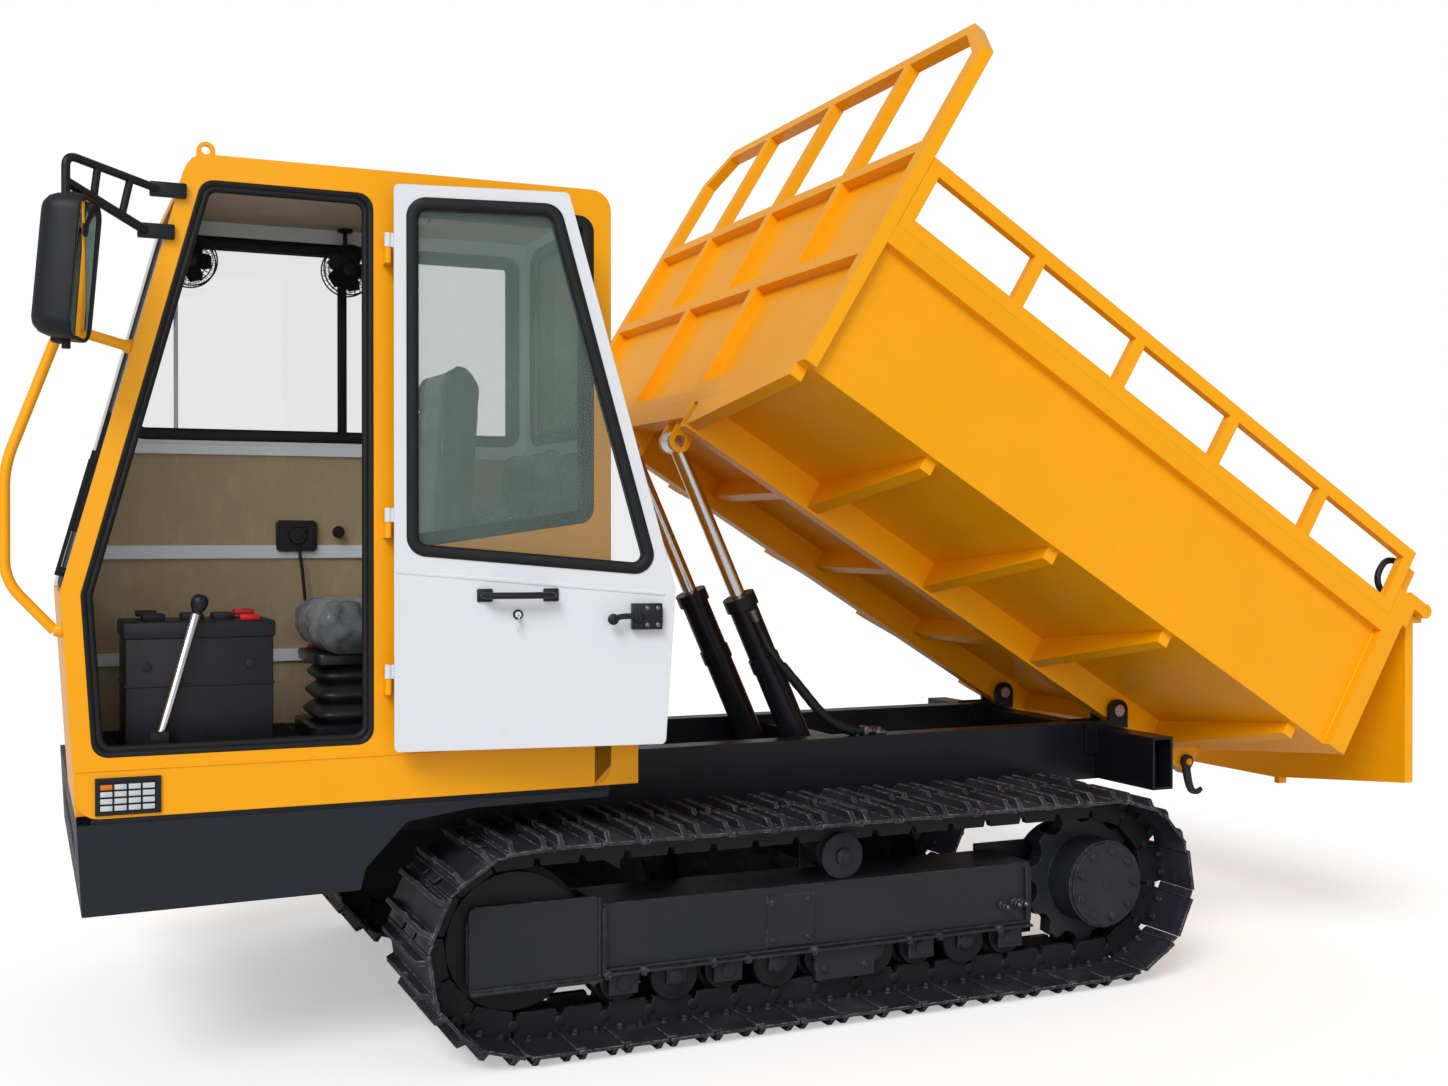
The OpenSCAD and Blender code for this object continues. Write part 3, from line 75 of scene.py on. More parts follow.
# Sizes shared with the part, in metres
HINGE = Vector((1.355795, 0, 0.785))
BED_FRONT, BED_REAR, BED_HALF = 1.85, 0.4, 1.012
SIDE_Y, SIDE_LOW, SIDE_TOP = 0.982, 0.129, 0.609
FLOOR_KINK, RAIL_W = 0.375, 0.04
SPROCKET_X, AXLE_Z, TRACK_Y, PITCH_R = HINGE.x - 0.359, 0.300715, 0.66, 0.230715
IDLER_X = SPROCKET_X - 1.885
ROAD_STEP, ROLLER_Z = 0.31375, 0.164
ROAD_XS = [IDLER_X + 0.3 + ROAD_STEP * i for i in range(5)]
TEETH, LINKS, LINK_PITCH, LINK_H, SHOE_W = 11, 40, 0.13, 0.07, 0.466
CARRIER = Vector(((IDLER_X + SPROCKET_X) / 2 + 0.04, 0, 0.453431))
WALL_OUT, COVER_OUT, FRAME_TOP, FRAME_LOW = 0.11, 0.122, 0.385, 0.19
FRAME_FRONT, FRAME_REAR = IDLER_X + 0.23037, SPROCKET_X - 0.2554
CAB_REAR = HINGE.x - 1.976
KNEE_X, ROOF_X, SILL_X = CAB_REAR - 1.39, CAB_REAR - 1.095, CAB_REAR - 1.355
KNEE_Z, ROOF_Z, SILL_Z, FLOOR_Z = 1.25, 2.324, 0.705, 0.84
CAB_NEAR, CAB_FAR, IN_NEAR, IN_FAR, CAB_MID = -0.759, -0.059, -0.719, -0.099, -0.409
POST_W, CAB_WALL = 0.045, 0.04
DOOR_FACE, DOOR_T, LATCH_Z = 0.76, 0.034, 1.175
DOOR_PIVOT = Vector((CAB_REAR - 0.617, -0.798, 0))
HOIST_BASE = Vector((HINGE.x - 1.077, 0, 0.6))
HOIST_ANGLE = math.radians(114.157)
HOIST_Y, BARREL_R, BARREL_LEN, GLAND_L = 0.2, 0.046, 0.649131, 0.042
BEAM_TOP, BEAM_Y, BEAM_W = 0.745, 0.387, 0.08
HOSE_R = 0.012
THROTTLE = Vector((CAB_REAR - 0.74, IN_FAR - 0.046, 1.385))
MIRROR_AT = Vector((KNEE_X + 0.011, CAB_NEAR - 0.155, ROOF_Z))
X, Y, Z = Vector((1, 0, 0)), Vector((0, 1, 0)), Vector((0, 0, 1))


# Places, turns and outlines
def move(*at):
    return Matrix.Translation(Vector(at))


def spin(degrees, axis):
    return Matrix.Rotation(math.radians(degrees), 4, axis)


def around(r, degrees):
    """A point at distance r from the origin in the XZ plane."""
    a = math.radians(degrees)
    return Vector((r * math.cos(a), 0, r * math.sin(a)))


def front_at(z):
    """X of the windscreen post at height z."""
    return KNEE_X + (ROOF_X - KNEE_X) * (z - KNEE_Z) / (ROOF_Z - KNEE_Z)


def nose_at(z):
    """X of the cab's nose below the knee at height z."""
    return KNEE_X + (SILL_X - KNEE_X) * (KNEE_Z - z) / (KNEE_Z - SILL_Z)


def corners(x0, x1, y0, y1):
    """A rectangle, anticlockwise."""
    return [(x0, y0), (x1, y0), (x1, y1), (x0, y1)]


def inset(points, d):
    """The outline moved inwards by d, for points listed anticlockwise."""
    pts = [Vector(p) for p in points]
    out = []
    for i, p in enumerate(pts):
        a = (p - pts[i - 1]).normalized()
        b = (pts[(i + 1) % len(pts)] - p).normalized()
        na, nb = Vector((-a.y, a.x)), Vector((-b.y, b.x))
        out.append(p + d * (na + nb) / (1 + na.dot(nb)))
    return out


def rounded(points, r, steps=8):
    """The outline with each corner replaced by an arc of radius r."""
    pts = [Vector(p) for p in points]
    out = []
    for i, p in enumerate(pts):
        u = (pts[i - 1] - p).normalized()
        w = (pts[(i + 1) % len(pts)] - p).normalized()
        half = u.angle(w) / 2
        c = p + (u + w).normalized() * r / math.sin(half)
        start, stop = p + u * r / math.tan(half) - c, p + w * r / math.tan(half) - c
        a0 = math.atan2(start.y, start.x)
        turn = math.atan2(start.x * stop.y - start.y * stop.x, start.dot(stop))
        for k in range(steps + 1):
            a = a0 + turn * k / steps
            out.append(c + r * Vector((math.cos(a), math.sin(a))))
    return out


BED = move(*HINGE) @ spin(31.5, "Y")
DOOR = move(*DOOR_PIVOT) @ spin(170, "Z") @ move(*-DOOR_PIVOT)
DOOR_LOW, DOOR_TOP, DOOR_BACK = FLOOR_Z - 0.034, ROOF_Z - 0.017, CAB_REAR - 0.6
DOOR_BAY = [(nose_at(DOOR_LOW), DOOR_LOW), (DOOR_BACK, DOOR_LOW), (DOOR_BACK, DOOR_TOP),
            (front_at(DOOR_TOP), DOOR_TOP), (KNEE_X, KNEE_Z)]
SHEET_IN = POST_W - 0.014
PANE_IN, PANE_LOW = SHEET_IN + 0.046, KNEE_Z - 0.04
PANE_BAY = [(front_at(PANE_LOW), PANE_LOW), (DOOR_BACK, KNEE_Z + 0.03), (DOOR_BACK, DOOR_TOP),
            (front_at(DOOR_TOP), DOOR_TOP)]
PANE = rounded(inset(PANE_BAY, PANE_IN), 0.034)
QUARTER_X, QUARTER_TOP = CAB_REAR - 0.062, ROOF_Z - 0.085
QUARTER = rounded([(DOOR_BACK + POST_W, KNEE_Z + 0.115), (QUARTER_X, KNEE_Z + 0.185),
                   (QUARTER_X, QUARTER_TOP), (DOOR_BACK + POST_W, QUARTER_TOP)], 0.03)
RIGHT_SILL, RIGHT_TOP = 1.625, ROOF_Z - 0.05
RIGHT = rounded(inset([(front_at(RIGHT_SILL) + 0.035, RIGHT_SILL), (CAB_REAR - 0.03, RIGHT_SILL),
                       (CAB_REAR - 0.03, RIGHT_TOP), (front_at(RIGHT_TOP) + 0.035, RIGHT_TOP)], POST_W), 0.03)
REAR = rounded(inset(corners(IN_NEAR + 0.015, IN_FAR - 0.015, RIGHT_SILL, ROOF_Z - 0.04), POST_W), 0.04)
RAILS = ((RIGHT_SILL - 0.008, 0.028), (1.32, 0.038), (1.022, 0.035))
LATCH_X = nose_at(LATCH_Z) + POST_W + 0.062
LATCH = DOOR @ move(LATCH_X, -DOOR_FACE, LATCH_Z)


# Materials, each with its own node tree
class Nodes:
    """Shorthand for one material's nodes, with a Principled shader at the end."""

    def __init__(self, name):
        self.mat = bpy.data.materials.new(name)
        self.mat.use_nodes = True
        self.tree = self.mat.node_tree
        self.tree.nodes.clear()
        self.out = self.add("ShaderNodeOutputMaterial")
        self.bsdf = self.add("ShaderNodeBsdfPrincipled")
        self.link(self.bsdf.outputs[0], self.out.inputs[0])
        self.coords = self.add("ShaderNodeTexCoord").outputs["Object"]

    def add(self, kind, inputs=None, **props):
        """A new node with its properties, and its inputs by name or number, each a value or a socket."""
        node = self.tree.nodes.new(kind)
        for key, value in props.items():
            setattr(node, key, value)
        for key, value in (inputs or {}).items():
            self.feed(node.inputs[key], value)
        return node

    def link(self, source, target):
        self.tree.links.new(source, target)

    def feed(self, socket, value):
        if isinstance(value, bpy.types.NodeSocket):
            self.link(value, socket)
        else:
            socket.default_value = value

    def set(self, **values):
        for key, value in values.items():
            self.feed(self.bsdf.inputs[key.replace("_", " ")], value)
        return self

    def noise(self, scale, detail=3.0, rough=0.5, stretch=None, twist=0.0):
        source = self.coords
        if stretch:
            source = self.add("ShaderNodeMapping", {"Scale": stretch, "Vector": source}).outputs[0]
        return self.add("ShaderNodeTexNoise", {"Scale": scale, "Detail": detail, "Roughness": rough,
                                               "Distortion": twist, "Vector": source}).outputs["Fac"]

    def ramp(self, fac, *stops):
        node = self.add("ShaderNodeValToRGB", {0: fac})
        ramp = node.color_ramp
        while len(ramp.elements) < len(stops):
            ramp.elements.new(0.5)
        for element, (place, colour) in zip(ramp.elements, stops):
            element.position = place
            element.color = colour if hasattr(colour, "__len__") else (colour, colour, colour, 1)
        return node.outputs[0]

    def maths(self, op, a, b, clamp=False):
        return self.add("ShaderNodeMath", {0: a, 1: b}, operation=op, use_clamp=clamp).outputs[0]

    def mix(self, fac, a, b):
        return self.add("ShaderNodeMix", {0: fac, 6: a, 7: b}, data_type="RGBA").outputs[2]

    def bump(self, height, strength, distance, normal=None):
        inputs = {"Strength": strength, "Distance": distance, "Height": height}
        if normal is not None:
            inputs["Normal"] = normal
        return self.add("ShaderNodeBump", inputs).outputs[0]

    def edges(self, radius):
        """The normal over softened edges, and a mask that is 1 on them and 0 on flat faces."""
        soft = self.add("ShaderNodeBevel", {"Radius": radius}, samples=4).outputs[0]
        flat = self.add("ShaderNodeNewGeometry").outputs["Normal"]
        dot = self.add("ShaderNodeVectorMath", {0: soft, 1: flat}, operation="DOT_PRODUCT").outputs["Value"]
        return soft, self.maths("MULTIPLY", self.maths("SUBTRACT", 1.0, dot), 4.0, clamp=True)


def rgb(r, g, b):
    """A colour given as it looks on a screen, 0 to 255, for a shader."""
    def lin(c):
        c /= 255
        return c / 12.92 if c <= 0.04045 else ((c + 0.055) / 1.055) ** 2.4
    return (lin(r), lin(g), lin(b), 1)


def shade(colour, k):
    return tuple(min(1, c * k) for c in colour[:3]) + (1,)


def paint(name, colour, rough, wear_and_highlight, amount, coat=0.0, spec=0.3, radius=0.0025, peel=0.05, dust=0.0, grime=None):
    """Sprayed paint: slow change of tone, orange peel, softened edges with worn spots in a lighter colour, which on the
    track steel and the track frame paint is also a painted highlight along the edges, and dust in patches.
    """
    n = Nodes(name)
    normal, edge = n.edges(radius)
    base = n.ramp(n.noise(1.7, 5, 0.6), (0.25, shade(colour, 0.93)), (0.75, shade(colour, 1.04)))
    if dust:
        patch = n.ramp(n.noise(4.5, 8, 0.68), (0.48, 0.0), (0.72, 1.0))
        base = n.mix(n.maths("MULTIPLY", patch, dust), base, grime)
    broken = n.ramp(n.noise(38, 6, 0.7), (0.45, 0.0), (0.62, 1.0))
    # Edges mixed towards the lighter edge colour: worn paint, and on the track steel and the track frame also a painted
    # highlight along the edges.
    base = n.mix(n.maths("MULTIPLY", n.maths("MULTIPLY", edge, broken), amount), base, wear_and_highlight)
    n.set(Base_Color=base, Specular_IOR_Level=spec, Coat_Weight=coat, Coat_Roughness=0.08)
    n.set(Roughness=n.ramp(n.noise(9, 6, 0.6), (0.3, rough * 0.85), (0.7, min(1, rough * 1.2))))
    n.set(Normal=n.bump(n.noise(260, 2, 0.4), peel, 0.001, normal))
    return n.mat


def moulded(name, colour, rough, grain=420, depth=0.12):
    """Plastic or rubber with a fine moulded grain and faint scuffs."""
    n = Nodes(name)
    scuff = n.ramp(n.noise(26, 7, 0.7, stretch=(1, 1, 0.35)), (0.5, 0.0), (0.75, 1.0))
    base = n.mix(n.maths("MULTIPLY", scuff, 0.35), colour, shade(colour, 1.6))
    n.set(Base_Color=base, Specular_IOR_Level=0.3)
    n.set(Roughness=n.ramp(n.noise(14, 5), (0.3, rough * 0.86), (0.7, min(1, rough * 1.16))))
    n.set(Normal=n.bump(n.noise(grain, 3, 0.6), depth, 0.0006, n.edges(0.0015)[0]))
    return n.mat


def metal(name, colour, rough, brush=(1, 1, 1), stain=None):
    """Bare metal with brushed lines along one direction and optional stains."""
    n = Nodes(name)
    lines = n.noise(90, 4, 0.6, stretch=brush)
    base = n.ramp(lines, (0.3, shade(colour, 0.86)), (0.7, shade(colour, 1.06)))
    if stain:
        base = n.mix(n.ramp(n.noise(16, 7, 0.7), (0.52, 0.0), (0.7, 0.8)), base, stain)
    n.set(Base_Color=base, Metallic=1.0)
    n.set(Roughness=n.ramp(lines, (0.25, rough * 0.75), (0.75, rough * 1.3)))
    n.set(Normal=n.bump(lines, 0.08, 0.0004, n.edges(0.0012)[0]))
    return n.mat


def clear(name, colour, least, rough, ripple=0.0):
    """Glass or film: see-through face on and mirror-like at a slant."""
    n = Nodes(name)
    slant = n.add("ShaderNodeFresnel", {"IOR": 1.45}).outputs[0]
    cover = n.maths("ADD", n.maths("MULTIPLY", slant, 0.9), least, clamp=True)
    smear = n.ramp(n.noise(5, 6, 0.6), (0.3, shade(colour, 0.85)), (0.7, shade(colour, 1.1)))
    n.set(Base_Color=smear, Alpha=cover, Roughness=rough, Specular_IOR_Level=0.8)
    if ripple:
        n.set(Normal=n.bump(n.noise(26, 5, 0.65, twist=0.8), ripple, 0.004))
    n.mat.surface_render_method = "BLENDED"
    return n.mat


def woven(name, colour, pitch=0.0018):
    """Seat cloth: crossed threads with a slight change of shade."""
    n = Nodes(name)
    threads = [n.add("ShaderNodeTexWave", {"Scale": 0.32 / pitch, "Distortion": 0.6, "Vector": n.coords},
                     wave_type="BANDS", bands_direction=axis, wave_profile="SIN").outputs["Fac"] for axis in "XY"]
    weave = n.maths("MULTIPLY", *threads)
    base = n.ramp(weave, (0.2, shade(colour, 0.7)), (0.8, shade(colour, 1.35)))
    n.set(Base_Color=base, Roughness=0.88, Sheen_Weight=0.3, Sheen_Roughness=0.5)
    n.set(Normal=n.bump(weave, 0.35, 0.0006))
    return n.mat


YELLOW = paint("yellow_paint", rgb(252, 170, 4), 0.34, rgb(205, 128, 10), 0.35, coat=0.12, spec=0.22)
YELLOW_IN = paint("yellow_paint_bed", rgb(250, 168, 4), 0.38, rgb(196, 120, 12), 0.5, coat=0.08, spec=0.22,
                  dust=0.06, grime=rgb(190, 140, 50))
WHITE = paint("white_paint", rgb(220, 223, 228), 0.3, rgb(170, 172, 178), 0.3, coat=0.2)
GREY_IN = paint("cab_inner_paint", rgb(228, 233, 236), 0.4, rgb(170, 174, 178), 0.3)
CHARCOAL = paint("charcoal_paint", rgb(36, 39, 46), 0.44, rgb(96, 98, 102), 0.5, spec=0.2)
# Its light edge colour, wide edge band and strong edge mix are worn paint and also a painted highlight along the
# frame's edges.
FRAME_PAINT = paint("track_frame_paint", rgb(38, 40, 46), 0.4, rgb(122, 124, 130), 0.8, spec=0.25, radius=0.004,
                    dust=0.08, grime=rgb(84, 80, 76))
BLACK = paint("chassis_paint", rgb(20, 22, 28), 0.34, rgb(84, 84, 86), 0.5, coat=0.06, spec=0.25)
# Its pale edge colour at full strength is worn steel on the shoe edges and also a painted highlight on top of the
# grousers.
TRACK = paint("track_steel", rgb(38, 39, 46), 0.55, rgb(160, 162, 170), 1.0, radius=0.006, peel=0.25,
              dust=0.45, grime=rgb(76, 77, 84))
CHAIN = paint("track_chain_steel", rgb(26, 27, 31), 0.5, rgb(104, 105, 112), 0.8, spec=0.25, radius=0.004, peel=0.15,
              dust=0.2, grime=rgb(52, 52, 56))
CAST = paint("cast_iron", rgb(44, 46, 48), 0.6, rgb(110, 108, 104), 0.6, peel=0.35, dust=0.15, grime=rgb(90, 84, 76))
CHROME = metal("bright_steel", (0.78, 0.78, 0.8, 1), 0.16, brush=(1, 1, 14))
PIN = metal("pin_steel", (0.5, 0.5, 0.51, 1), 0.34, stain=rgb(70, 62, 56))
BOLT = metal("bolt_steel", (0.2, 0.2, 0.21, 1), 0.42, stain=rgb(50, 48, 46))
MIRROR = metal("mirror_face", (0.86, 0.87, 0.88, 1), 0.03)
GLASS = clear("clear_glass", rgb(150, 176, 168), 0.10, 0.02)
FILM = clear("clear_film", rgb(205, 210, 214), 0.12, 0.12, ripple=0.9)
PLASTIC = moulded("black_plastic", rgb(22, 24, 28), 0.46)
RUBBER = moulded("black_rubber", rgb(17, 18, 21), 0.55, grain=260, depth=0.08)
BELLOWS = moulded("bellows_rubber", rgb(34, 34, 36), 0.42, grain=200, depth=0.1)
TRIM = moulded("trim_panel", rgb(174, 153, 121), 0.62, grain=330, depth=0.22)
CEILING = moulded("ceiling_panel", rgb(196, 176, 154), 0.7, grain=240, depth=0.22)
MAT = moulded("floor_mat", rgb(32, 33, 34), 0.75, grain=160, depth=0.4)
RED = moulded("red_plastic", rgb(190, 22, 24), 0.36)
LIGHT = moulded("light_plastic", rgb(196, 200, 202), 0.5)
ORANGE = moulded("orange_plastic", rgb(214, 112, 24), 0.5)
CLOTH = woven("seat_cloth", rgb(44, 46, 50))


# Materials on the CAD nodes
def dress(node, default, *rules):
    """Gives a node its material, and faces that a rule picks by centre and normal another one."""
    mesh = nodes[node].data
    mesh.materials.clear()
    mesh.materials.append(default)
    for mat, _ in rules:
        mesh.materials.append(mat)
    for face in mesh.polygons:
        face.material_index = next((i + 1 for i, (_, test) in enumerate(rules) if test(face.center, face.normal)), 0)
        face.use_smooth = True
    mesh.set_sharp_from_angle(angle=math.radians(32))


def inside_cab(c, n):
    """True for faces of the cab that look into it."""
    between = IN_NEAR - 0.002 < c.y < IN_FAR + 0.002
    side = abs(c.y - IN_NEAR) < 0.004 and n.y > 0.9 or abs(c.y - IN_FAR) < 0.004 and n.y < -0.9
    back = n.x < -0.9 and c.x > CAB_REAR - 0.05 and between
    front = n.x > 0.5 and between and c.x < front_at(min(c.z, ROOF_Z)) + 0.1
    reveal = IN_FAR < c.y < CAB_FAR - 0.003 and abs(n.y) < 0.3 and 1.6 < c.z < ROOF_Z - 0.06
    return side or back or front or reveal and front_at(c.z) + 0.03 < c.x < CAB_REAR - 0.03


def on_rail(c, n):
    """True for faces of the rails between the trim panels."""
    far, back = IN_FAR - 0.0168 < c.y < IN_FAR - 0.0045, CAB_REAR - 0.0568 < c.x < CAB_REAR - 0.0445
    return any(z - 0.001 < c.z < z + h + 0.001 for z, h in RAILS) and (far or back and c.z > 1.5)


def on_throttle_bracket(c, n):
    return c.y < IN_FAR - 0.017 and abs(c.x - THROTTLE.x) < 0.06 and abs(c.z - THROTTLE.z) < 0.06


SIDES = (-1, "left"), (1, "right")
LOOKS = {"chassis_frame": BLACK, "hoist_barrels": BLACK, "pivot_pins": PIN, "final_drives": FRAME_PAINT,
         "cab_glass": GLASS, "engine": CAST, "engine_hood": YELLOW, "fluid_tanks": CHARCOAL, "bed_tub": YELLOW_IN,
         "bed_underframe": YELLOW, "front_guard": YELLOW, "side_fences": YELLOW, "tailgate": YELLOW,
         "hoist_rods": CHROME}
for _, s in SIDES:
    LOOKS.update({f"track_frame_{s}": FRAME_PAINT, f"sprocket_{s}": FRAME_PAINT, f"carrier_roller_{s}": FRAME_PAINT,
                  f"track_chain_{s}": CHAIN, f"idler_{s}": CHAIN, f"track_shoes_{s}": TRACK})
    LOOKS.update({f"road_roller_{s}_{i}": CHAIN for i in range(1, 6)})
# Nodes without a look of their own are the wiper, and those that a piece below replaces
for node in nodes:
    dress(node, LOOKS.get(node, PLASTIC))
dress("cab_floor", BLACK, (MAT, lambda c, n: n.z > 0.9 and c.z < FLOOR_Z + 0.002))
dress("cab_shell", YELLOW, (GREY_IN, inside_cab))
dress("cab_skirt", CHARCOAL, (PLASTIC, lambda c, n: c.y < CAB_NEAR + 0.001 and c.z > SILL_Z + 0.004))
dress("cab_lining", TRIM, (CEILING, lambda c, n: c.z > 2.2), (PLASTIC, on_throttle_bracket), (GREY_IN, on_rail))


# Tools for the pieces made here
def frames_along(path, closed, normal):
    """Two directions across the path at each of its points; normal keeps one of them fixed."""
    count = len(path)
    tangents = []
    for i in range(count):
        a = path[i - 1] if closed or i else path[0]
        b = path[(i + 1) % count] if closed or i < count - 1 else path[-1]
        tangents.append((b - a).normalized())
    if normal is not None:
        return [(t.cross(normal).normalized(), normal) for t in tangents]
    side = tangents[0].orthogonal().normalized()
    out = []
    for t in tangents:
        side = (side - t * side.dot(t)).normalized()
        out.append((side, t.cross(side).normalized()))
    return out


def circle(r, count, squeeze=1.0):
    turns = [2 * math.pi * k / count for k in range(count)]
    return [(r * math.cos(a), r * squeeze * math.sin(a)) for a in turns]


def lip(width, rise, steps=7):
    """Half-round profile of a seal, flat towards the panel and sunk a little into it."""
    arc = [math.pi * k / steps for k in range(steps + 1)]
    half = [(width / 2 * math.cos(a), rise * math.sin(a)) for a in arc]
    return half + [(-width / 2, -0.002), (width / 2, -0.002)]


def curve(points, per):
    """A smooth path through the points, with so many steps from each to the next."""
    pts = [Vector(p) for p in points]
    last = len(pts) - 1
    out = []
    for i in range(last):
        p1, p2 = pts[i], pts[i + 1]
        p0 = pts[i - 1] if i else p1 * 2 - p2
        p3 = pts[i + 2] if i + 2 <= last else p2 * 2 - p1
        for k in range(per):
            t = k / per
            out.append(0.5 * (2 * p1 + (p2 - p0) * t + (2 * p0 - 5 * p1 + 4 * p2 - p3) * t * t
                              + (3 * p1 - p0 - 3 * p2 + p3) * t ** 3))
    return out + [pts[-1]]


def eased(points, t, steps=10):
    """Straight runs through the points, with a bend that starts t before each corner."""
    pts = [Vector(p) for p in points]
    out = [pts[0]]
    for before, p, after in zip(pts, pts[1:], pts[2:]):
        s, e = p + (before - p).normalized() * t, p + (after - p).normalized() * t
        for k in range(steps + 1):
            u = k / steps
            out.append((1 - u) ** 2 * s + 2 * u * (1 - u) * p + u ** 2 * e)
    return out + [pts[-1]]


class Piece:
    """A mesh built from simple closed forms, with one or more materials."""

    def __init__(self, name, *mats, place=None):
        self.name, self.mats, self.place = name, mats, place or Matrix.Identity(4)
        self.bm = bmesh.new()

    def box(self, lo, hi, mat=0, bevel=0.0, at=(0, 0, 0)):
        """A block between two corners, counted from at, with its edges rounded off."""
        lo, hi = Vector(lo) + Vector(at), Vector(hi) + Vector(at)
        made = bmesh.ops.create_cube(self.bm, size=1)["verts"]
        local = Matrix.Translation((lo + hi) / 2) @ Matrix.Diagonal((*(hi - lo), 1))
        bmesh.ops.transform(self.bm, matrix=self.place @ local, verts=made)
        for f in {f for p in made for f in p.link_faces}:
            f.material_index = mat
        if bevel:
            edges = {e for p in made for e in p.link_edges}
            bmesh.ops.bevel(self.bm, geom=list(edges), offset=bevel, segments=2, profile=0.5, affect="EDGES",
                            clamp_overlap=True, material=mat)

    def loft(self, rings, mat=0, loop=False):
        """Skin over rings of points with equal counts; without a loop its ends are closed."""
        count, total = len(rings[0]), len(rings)
        made = [self.bm.verts.new(self.place @ Vector(p)) for ring in rings for p in ring]
        faces = []
        for i in range(total if loop else total - 1):
            a, b = i * count, (i + 1) % total * count
            faces += [(a + k, a + (k + 1) % count, b + (k + 1) % count, b + k) for k in range(count)]
        if not loop:
            faces += [tuple(range(count))[::-1], tuple(range((total - 1) * count, total * count))]
        for f in faces:
            self.bm.faces.new([made[i] for i in f]).material_index = mat

    def sweep(self, path, profile, mat=0, closed=False, normal=None, scale=None):
        """A profile carried along a path; scale gives its size at each point."""
        path = [Vector(p) for p in path]
        rings = []
        for i, (p, (u, w)) in enumerate(zip(path, frames_along(path, closed, normal))):
            k = scale[i] if scale else 1.0
            rings.append([p + (u * a + w * b) * k for a, b in profile])
        self.loft(rings, mat, loop=closed)

    def rim(self, path, width, rise, normal):
        """Window seal along a closed path; it rises along normal, or against it where rise is negative."""
        profile = lip(width, abs(rise))
        if rise < 0:
            profile = [(a, -b) for a, b in profile][::-1]
        self.sweep(path, profile, closed=True, normal=normal)

    def lathe(self, p, axis, outline, mat=0, count=32):
        """Turned form: outline lists radius and distance along the axis; a closed one ends at its start."""
        p, axis = Vector(p), Vector(axis).normalized()
        u = axis.orthogonal().normalized()
        w = axis.cross(u)
        rings = [[p + axis * h + (u * a + w * b) * r for a, b in circle(1, count)] for r, h in outline]
        closed = outline[0] == outline[-1]
        self.loft(rings[:-1] if closed else rings, mat, loop=closed)

    def collar(self, p, axis, bore, outline, mat=0, count=28):
        """Turned form with a bore through it."""
        ends = (bore, outline[0][1]), (bore, outline[-1][1])
        self.lathe(p, axis, [ends[0], *outline, ends[1], ends[0]], mat, count)

    def bolt(self, p, axis, r, mat=0):
        """Hexagon head on a washer, sunk a little into what it holds."""
        self.lathe(p, axis, [(r * 1.5, -0.002), (r * 1.5, r * 0.22), (r * 1.42, r * 0.3)], mat, 20)
        self.lathe(p, axis, [(r, r * 0.1), (r, r * 0.86), (r * 0.82, r * 1.0)], mat, 6)

    def done(self, body, slot, angle=35, stands_for=None):
        """Makes the object, rides it on its body, and hides the CAD node that it stands for."""
        bmesh.ops.recalc_face_normals(self.bm, faces=self.bm.faces)
        mesh = bpy.data.meshes.new(self.name)
        self.bm.to_mesh(mesh)
        self.bm.free()
        for mat in self.mats:
            mesh.materials.append(mat)
        obj = add_object(self.name, mesh)
        mesh.set_sharp_from_angle(angle=math.radians(angle))
        if body:
            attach(obj, body)
        if stands_for:
            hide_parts(stands_for)
        return obj


def add_object(name, mesh):
    """An object of the scene, shaded smooth."""
    obj = bpy.data.objects.new(name, mesh)
    scene.collection.objects.link(obj)
    for face in mesh.polygons:
        face.use_smooth = True
    return obj


def xz(points, y):
    return [Vector((p.x, y, p.y)) for p in points]


def yz(points, x):
    return [Vector((x, p.x, p.y)) for p in points]


def xy(points, z):
    return [Vector((p.x, p.y, z)) for p in points]


# Seals round the door opening and the windows
seal = Piece("door_opening_seal", RUBBER)
for deeper, r, y, profile in ((0.004, 0.038, 0.0125, circle(0.0118, 14)), (0.019, 0.03, 0.014, circle(0.009, 12, 1.1))):
    ring = rounded(inset(DOOR_BAY, POST_W + deeper), r, 10)
    seal.sweep(xz(ring, CAB_NEAR + y), profile, closed=True, normal=Y)
seal.done("chassis", "black_rubber", 60, "door_seal")

seal = Piece("door_window_seal", RUBBER, place=DOOR)
ring = rounded(inset(PANE_BAY, PANE_IN), 0.036, 10)
seal.rim(xz(ring, -DOOR_FACE), 0.031, 0.008, Y)
seal.rim(xz(ring, -DOOR_FACE - DOOR_T), 0.031, -0.008, Y)
seal.done("door", "black_rubber", 50)

SEAL_IN, SEAL_RISE = 0.004, 0.006
seal = Piece("cab_window_seals", RUBBER, GREY_IN)
for outline, y, rise in ((QUARTER, CAB_NEAR, -SEAL_RISE), (QUARTER, IN_NEAR, SEAL_RISE),
                         (RIGHT, CAB_FAR, SEAL_RISE), (RIGHT, IN_FAR, -SEAL_RISE)):
    seal.rim(xz(inset(outline, SEAL_IN), y), 0.034, rise, Y)
for x, rise in ((CAB_REAR, SEAL_RISE), (CAB_REAR - CAB_WALL, -SEAL_RISE)):
    seal.rim(yz(inset(REAR, SEAL_IN), x), 0.036, rise, X)
lean = math.atan2(ROOF_X - KNEE_X, ROOF_Z - KNEE_Z)
ring = rounded(corners(IN_NEAR + 0.014, IN_FAR - 0.014, KNEE_Z + 0.014, ROOF_Z - 0.105), 0.05)
seal.rim([Vector((front_at(p.y) + 0.0115, p.x, p.y)) for p in ring], 0.03, SEAL_RISE,
         Vector((-math.cos(lean), 0, math.sin(lean))))
